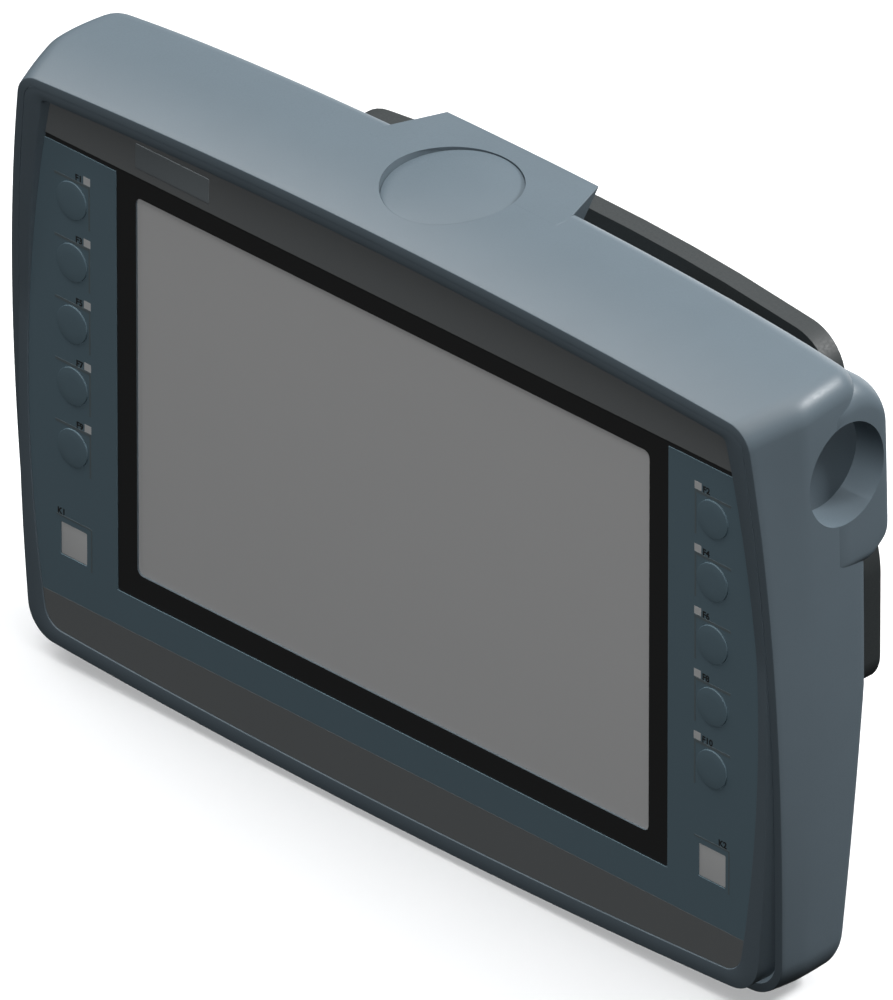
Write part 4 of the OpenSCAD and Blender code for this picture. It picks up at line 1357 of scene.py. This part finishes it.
# Name, direction, size in metres, power in watts, and whether it casts shadows.
LIGHTS = (("key_light", (0.26, -0.15, 0.955), 2.2, 28, True),
          ("fill_light", (0.26, -0.15, 0.955), 2.2, 60, False),
          ("top_light", (-0.22, 0.12, 0.96), 2.2, 20, False),
          ("sheen_light", (-0.66, -0.06, 0.75), 1.2, 16, True),
          ("edge_light", (0.52, 0.55, 0.65), 0.5, 42, True),
          ("back_light", (-0.35, 0.93, 0.03), 1.6, 12, True))


def studio_light(name, direction, size, power, shadows):
    """A soft square light aimed at the display's middle."""
    data = bpy.data.lights.new(name, "AREA")
    data.shape = "SQUARE"
    data.size = size
    data.energy = power
    data.use_shadow = shadows
    lamp = new_object(name, data)
    way = Vector(direction).normalized()
    lamp.location = Vector((0, 0, DISPLAY_Z)) + way * LIGHT_DISTANCE
    lamp.rotation_euler = way.to_track_quat("Z", "Y").to_euler()


def studio_world():
    """Dim even light all round, which the camera sees as a pale backdrop."""
    world = bpy.data.worlds.new("studio")
    world.use_nodes = True
    tree = world.node_tree
    tree.nodes.clear()
    dim = add_node(tree, "ShaderNodeBackground", {"Color": linear("#E9EEF2"), "Strength": 0.05})
    seen = add_node(tree, "ShaderNodeBackground", {"Color": linear("#F4F5F6"), "Strength": 1.0})
    path = add_node(tree, "ShaderNodeLightPath")
    mix = add_node(tree, "ShaderNodeMixShader",
                   links={0: (path, "Is Camera Ray"), 1: (dim, "Background"),
                          2: (seen, "Background")})
    add_node(tree, "ShaderNodeOutputWorld", links={"Surface": (mix, "Shader")})
    return world


class PANEL_OT_stage(bpy.types.Operator):
    """Sets the floor, the soft lights and the camera"""
    bl_idname = "panel.stage"
    bl_label = "Stage"

    def execute(self, context):
        scene = context.scene
        scene.view_settings.view_transform = "Standard"
        corners = [(x * FLOOR_HALF, y * FLOOR_HALF, CAD_BOX[0][2])
                   for x, y in ((-1, -1), (1, -1), (1, 1), (-1, 1))]
        floor = new_object("floor", mesh_from("floor", corners, [(0, 1, 2, 3)]))
        paint(floor, moulded("paper_backdrop_white", "#F4F5F6", 0.9, 1.5, 0.02, 0.005))
        floor.visible_diffuse = False
        floor.visible_glossy = False
        for light in LIGHTS:
            studio_light(*light)
        scene.world = studio_world()
        camera_data = bpy.data.cameras.new("camera")
        camera_data.lens = LENS
        camera_data.sensor_width = SENSOR
        camera_data.clip_end = 100
        camera = new_object("camera", camera_data)
        back = Vector((math.sin(AZIMUTH) * math.cos(ELEVATION),
                       -math.cos(AZIMUTH) * math.cos(ELEVATION), math.sin(ELEVATION)))
        target = at(10.82 * MM, 10.51 * MM, 4.53 * MM)
        camera.location = target + back * (FRAME_HEIGHT / 2) / (SENSOR / 2 / LENS)
        camera.rotation_euler = back.to_track_quat("Z", "Y").to_euler()
        scene.camera = camera
        return {"FINISHED"}


# ---------------------------------------------------------------- add-on
PIECES = (PANEL_OT_stage, PANEL_OT_housing, PANEL_OT_seat, PANEL_OT_front_frame, PANEL_OT_films,
          PANEL_OT_display, PANEL_OT_keys, PANEL_OT_marks, PANEL_OT_screws, PANEL_OT_rear,
          PANEL_OT_inner)


class PANEL_PT_sidebar(bpy.types.Panel):
    """Lists the panel's pieces in the sidebar"""
    bl_idname = "PANEL_PT_sidebar"
    bl_label = "Operator panel"
    bl_space_type = "VIEW_3D"
    bl_region_type = "UI"
    bl_category = "Operator panel"

    def draw(self, context):
        for piece in PIECES:
            self.layout.operator(piece.bl_idname)
        for group in (context.scene.panel_housing, context.scene.panel_front,
                      context.scene.panel_finish):
            box = self.layout.box()
            for name in group.bl_rna.properties.keys():
                if name not in ("rna_type", "name"):
                    box.prop(group, name)


SETTINGS = {"panel_housing": PanelHousingSettings, "panel_front": PanelFrontSettings,
            "panel_finish": PanelFinishSettings}


def register():
    """Registers the settings, the operators and the panel."""
    for name, group in SETTINGS.items():
        bpy.utils.register_class(group)
        setattr(bpy.types.Scene, name, PointerProperty(type=group))
    for piece in PIECES + (PANEL_PT_sidebar,):
        bpy.utils.register_class(piece)


def unregister():
    """Takes back what register adds."""
    for piece in reversed(PIECES + (PANEL_PT_sidebar,)):
        bpy.utils.unregister_class(piece)
    for name, group in SETTINGS.items():
        delattr(bpy.types.Scene, name)
        bpy.utils.unregister_class(group)


def main():
    """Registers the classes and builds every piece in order."""
    register()
    for piece in PIECES:
        group, action = piece.bl_idname.split(".")
        getattr(getattr(bpy.ops, group), action)()


if __name__ == "__main__":
    main()
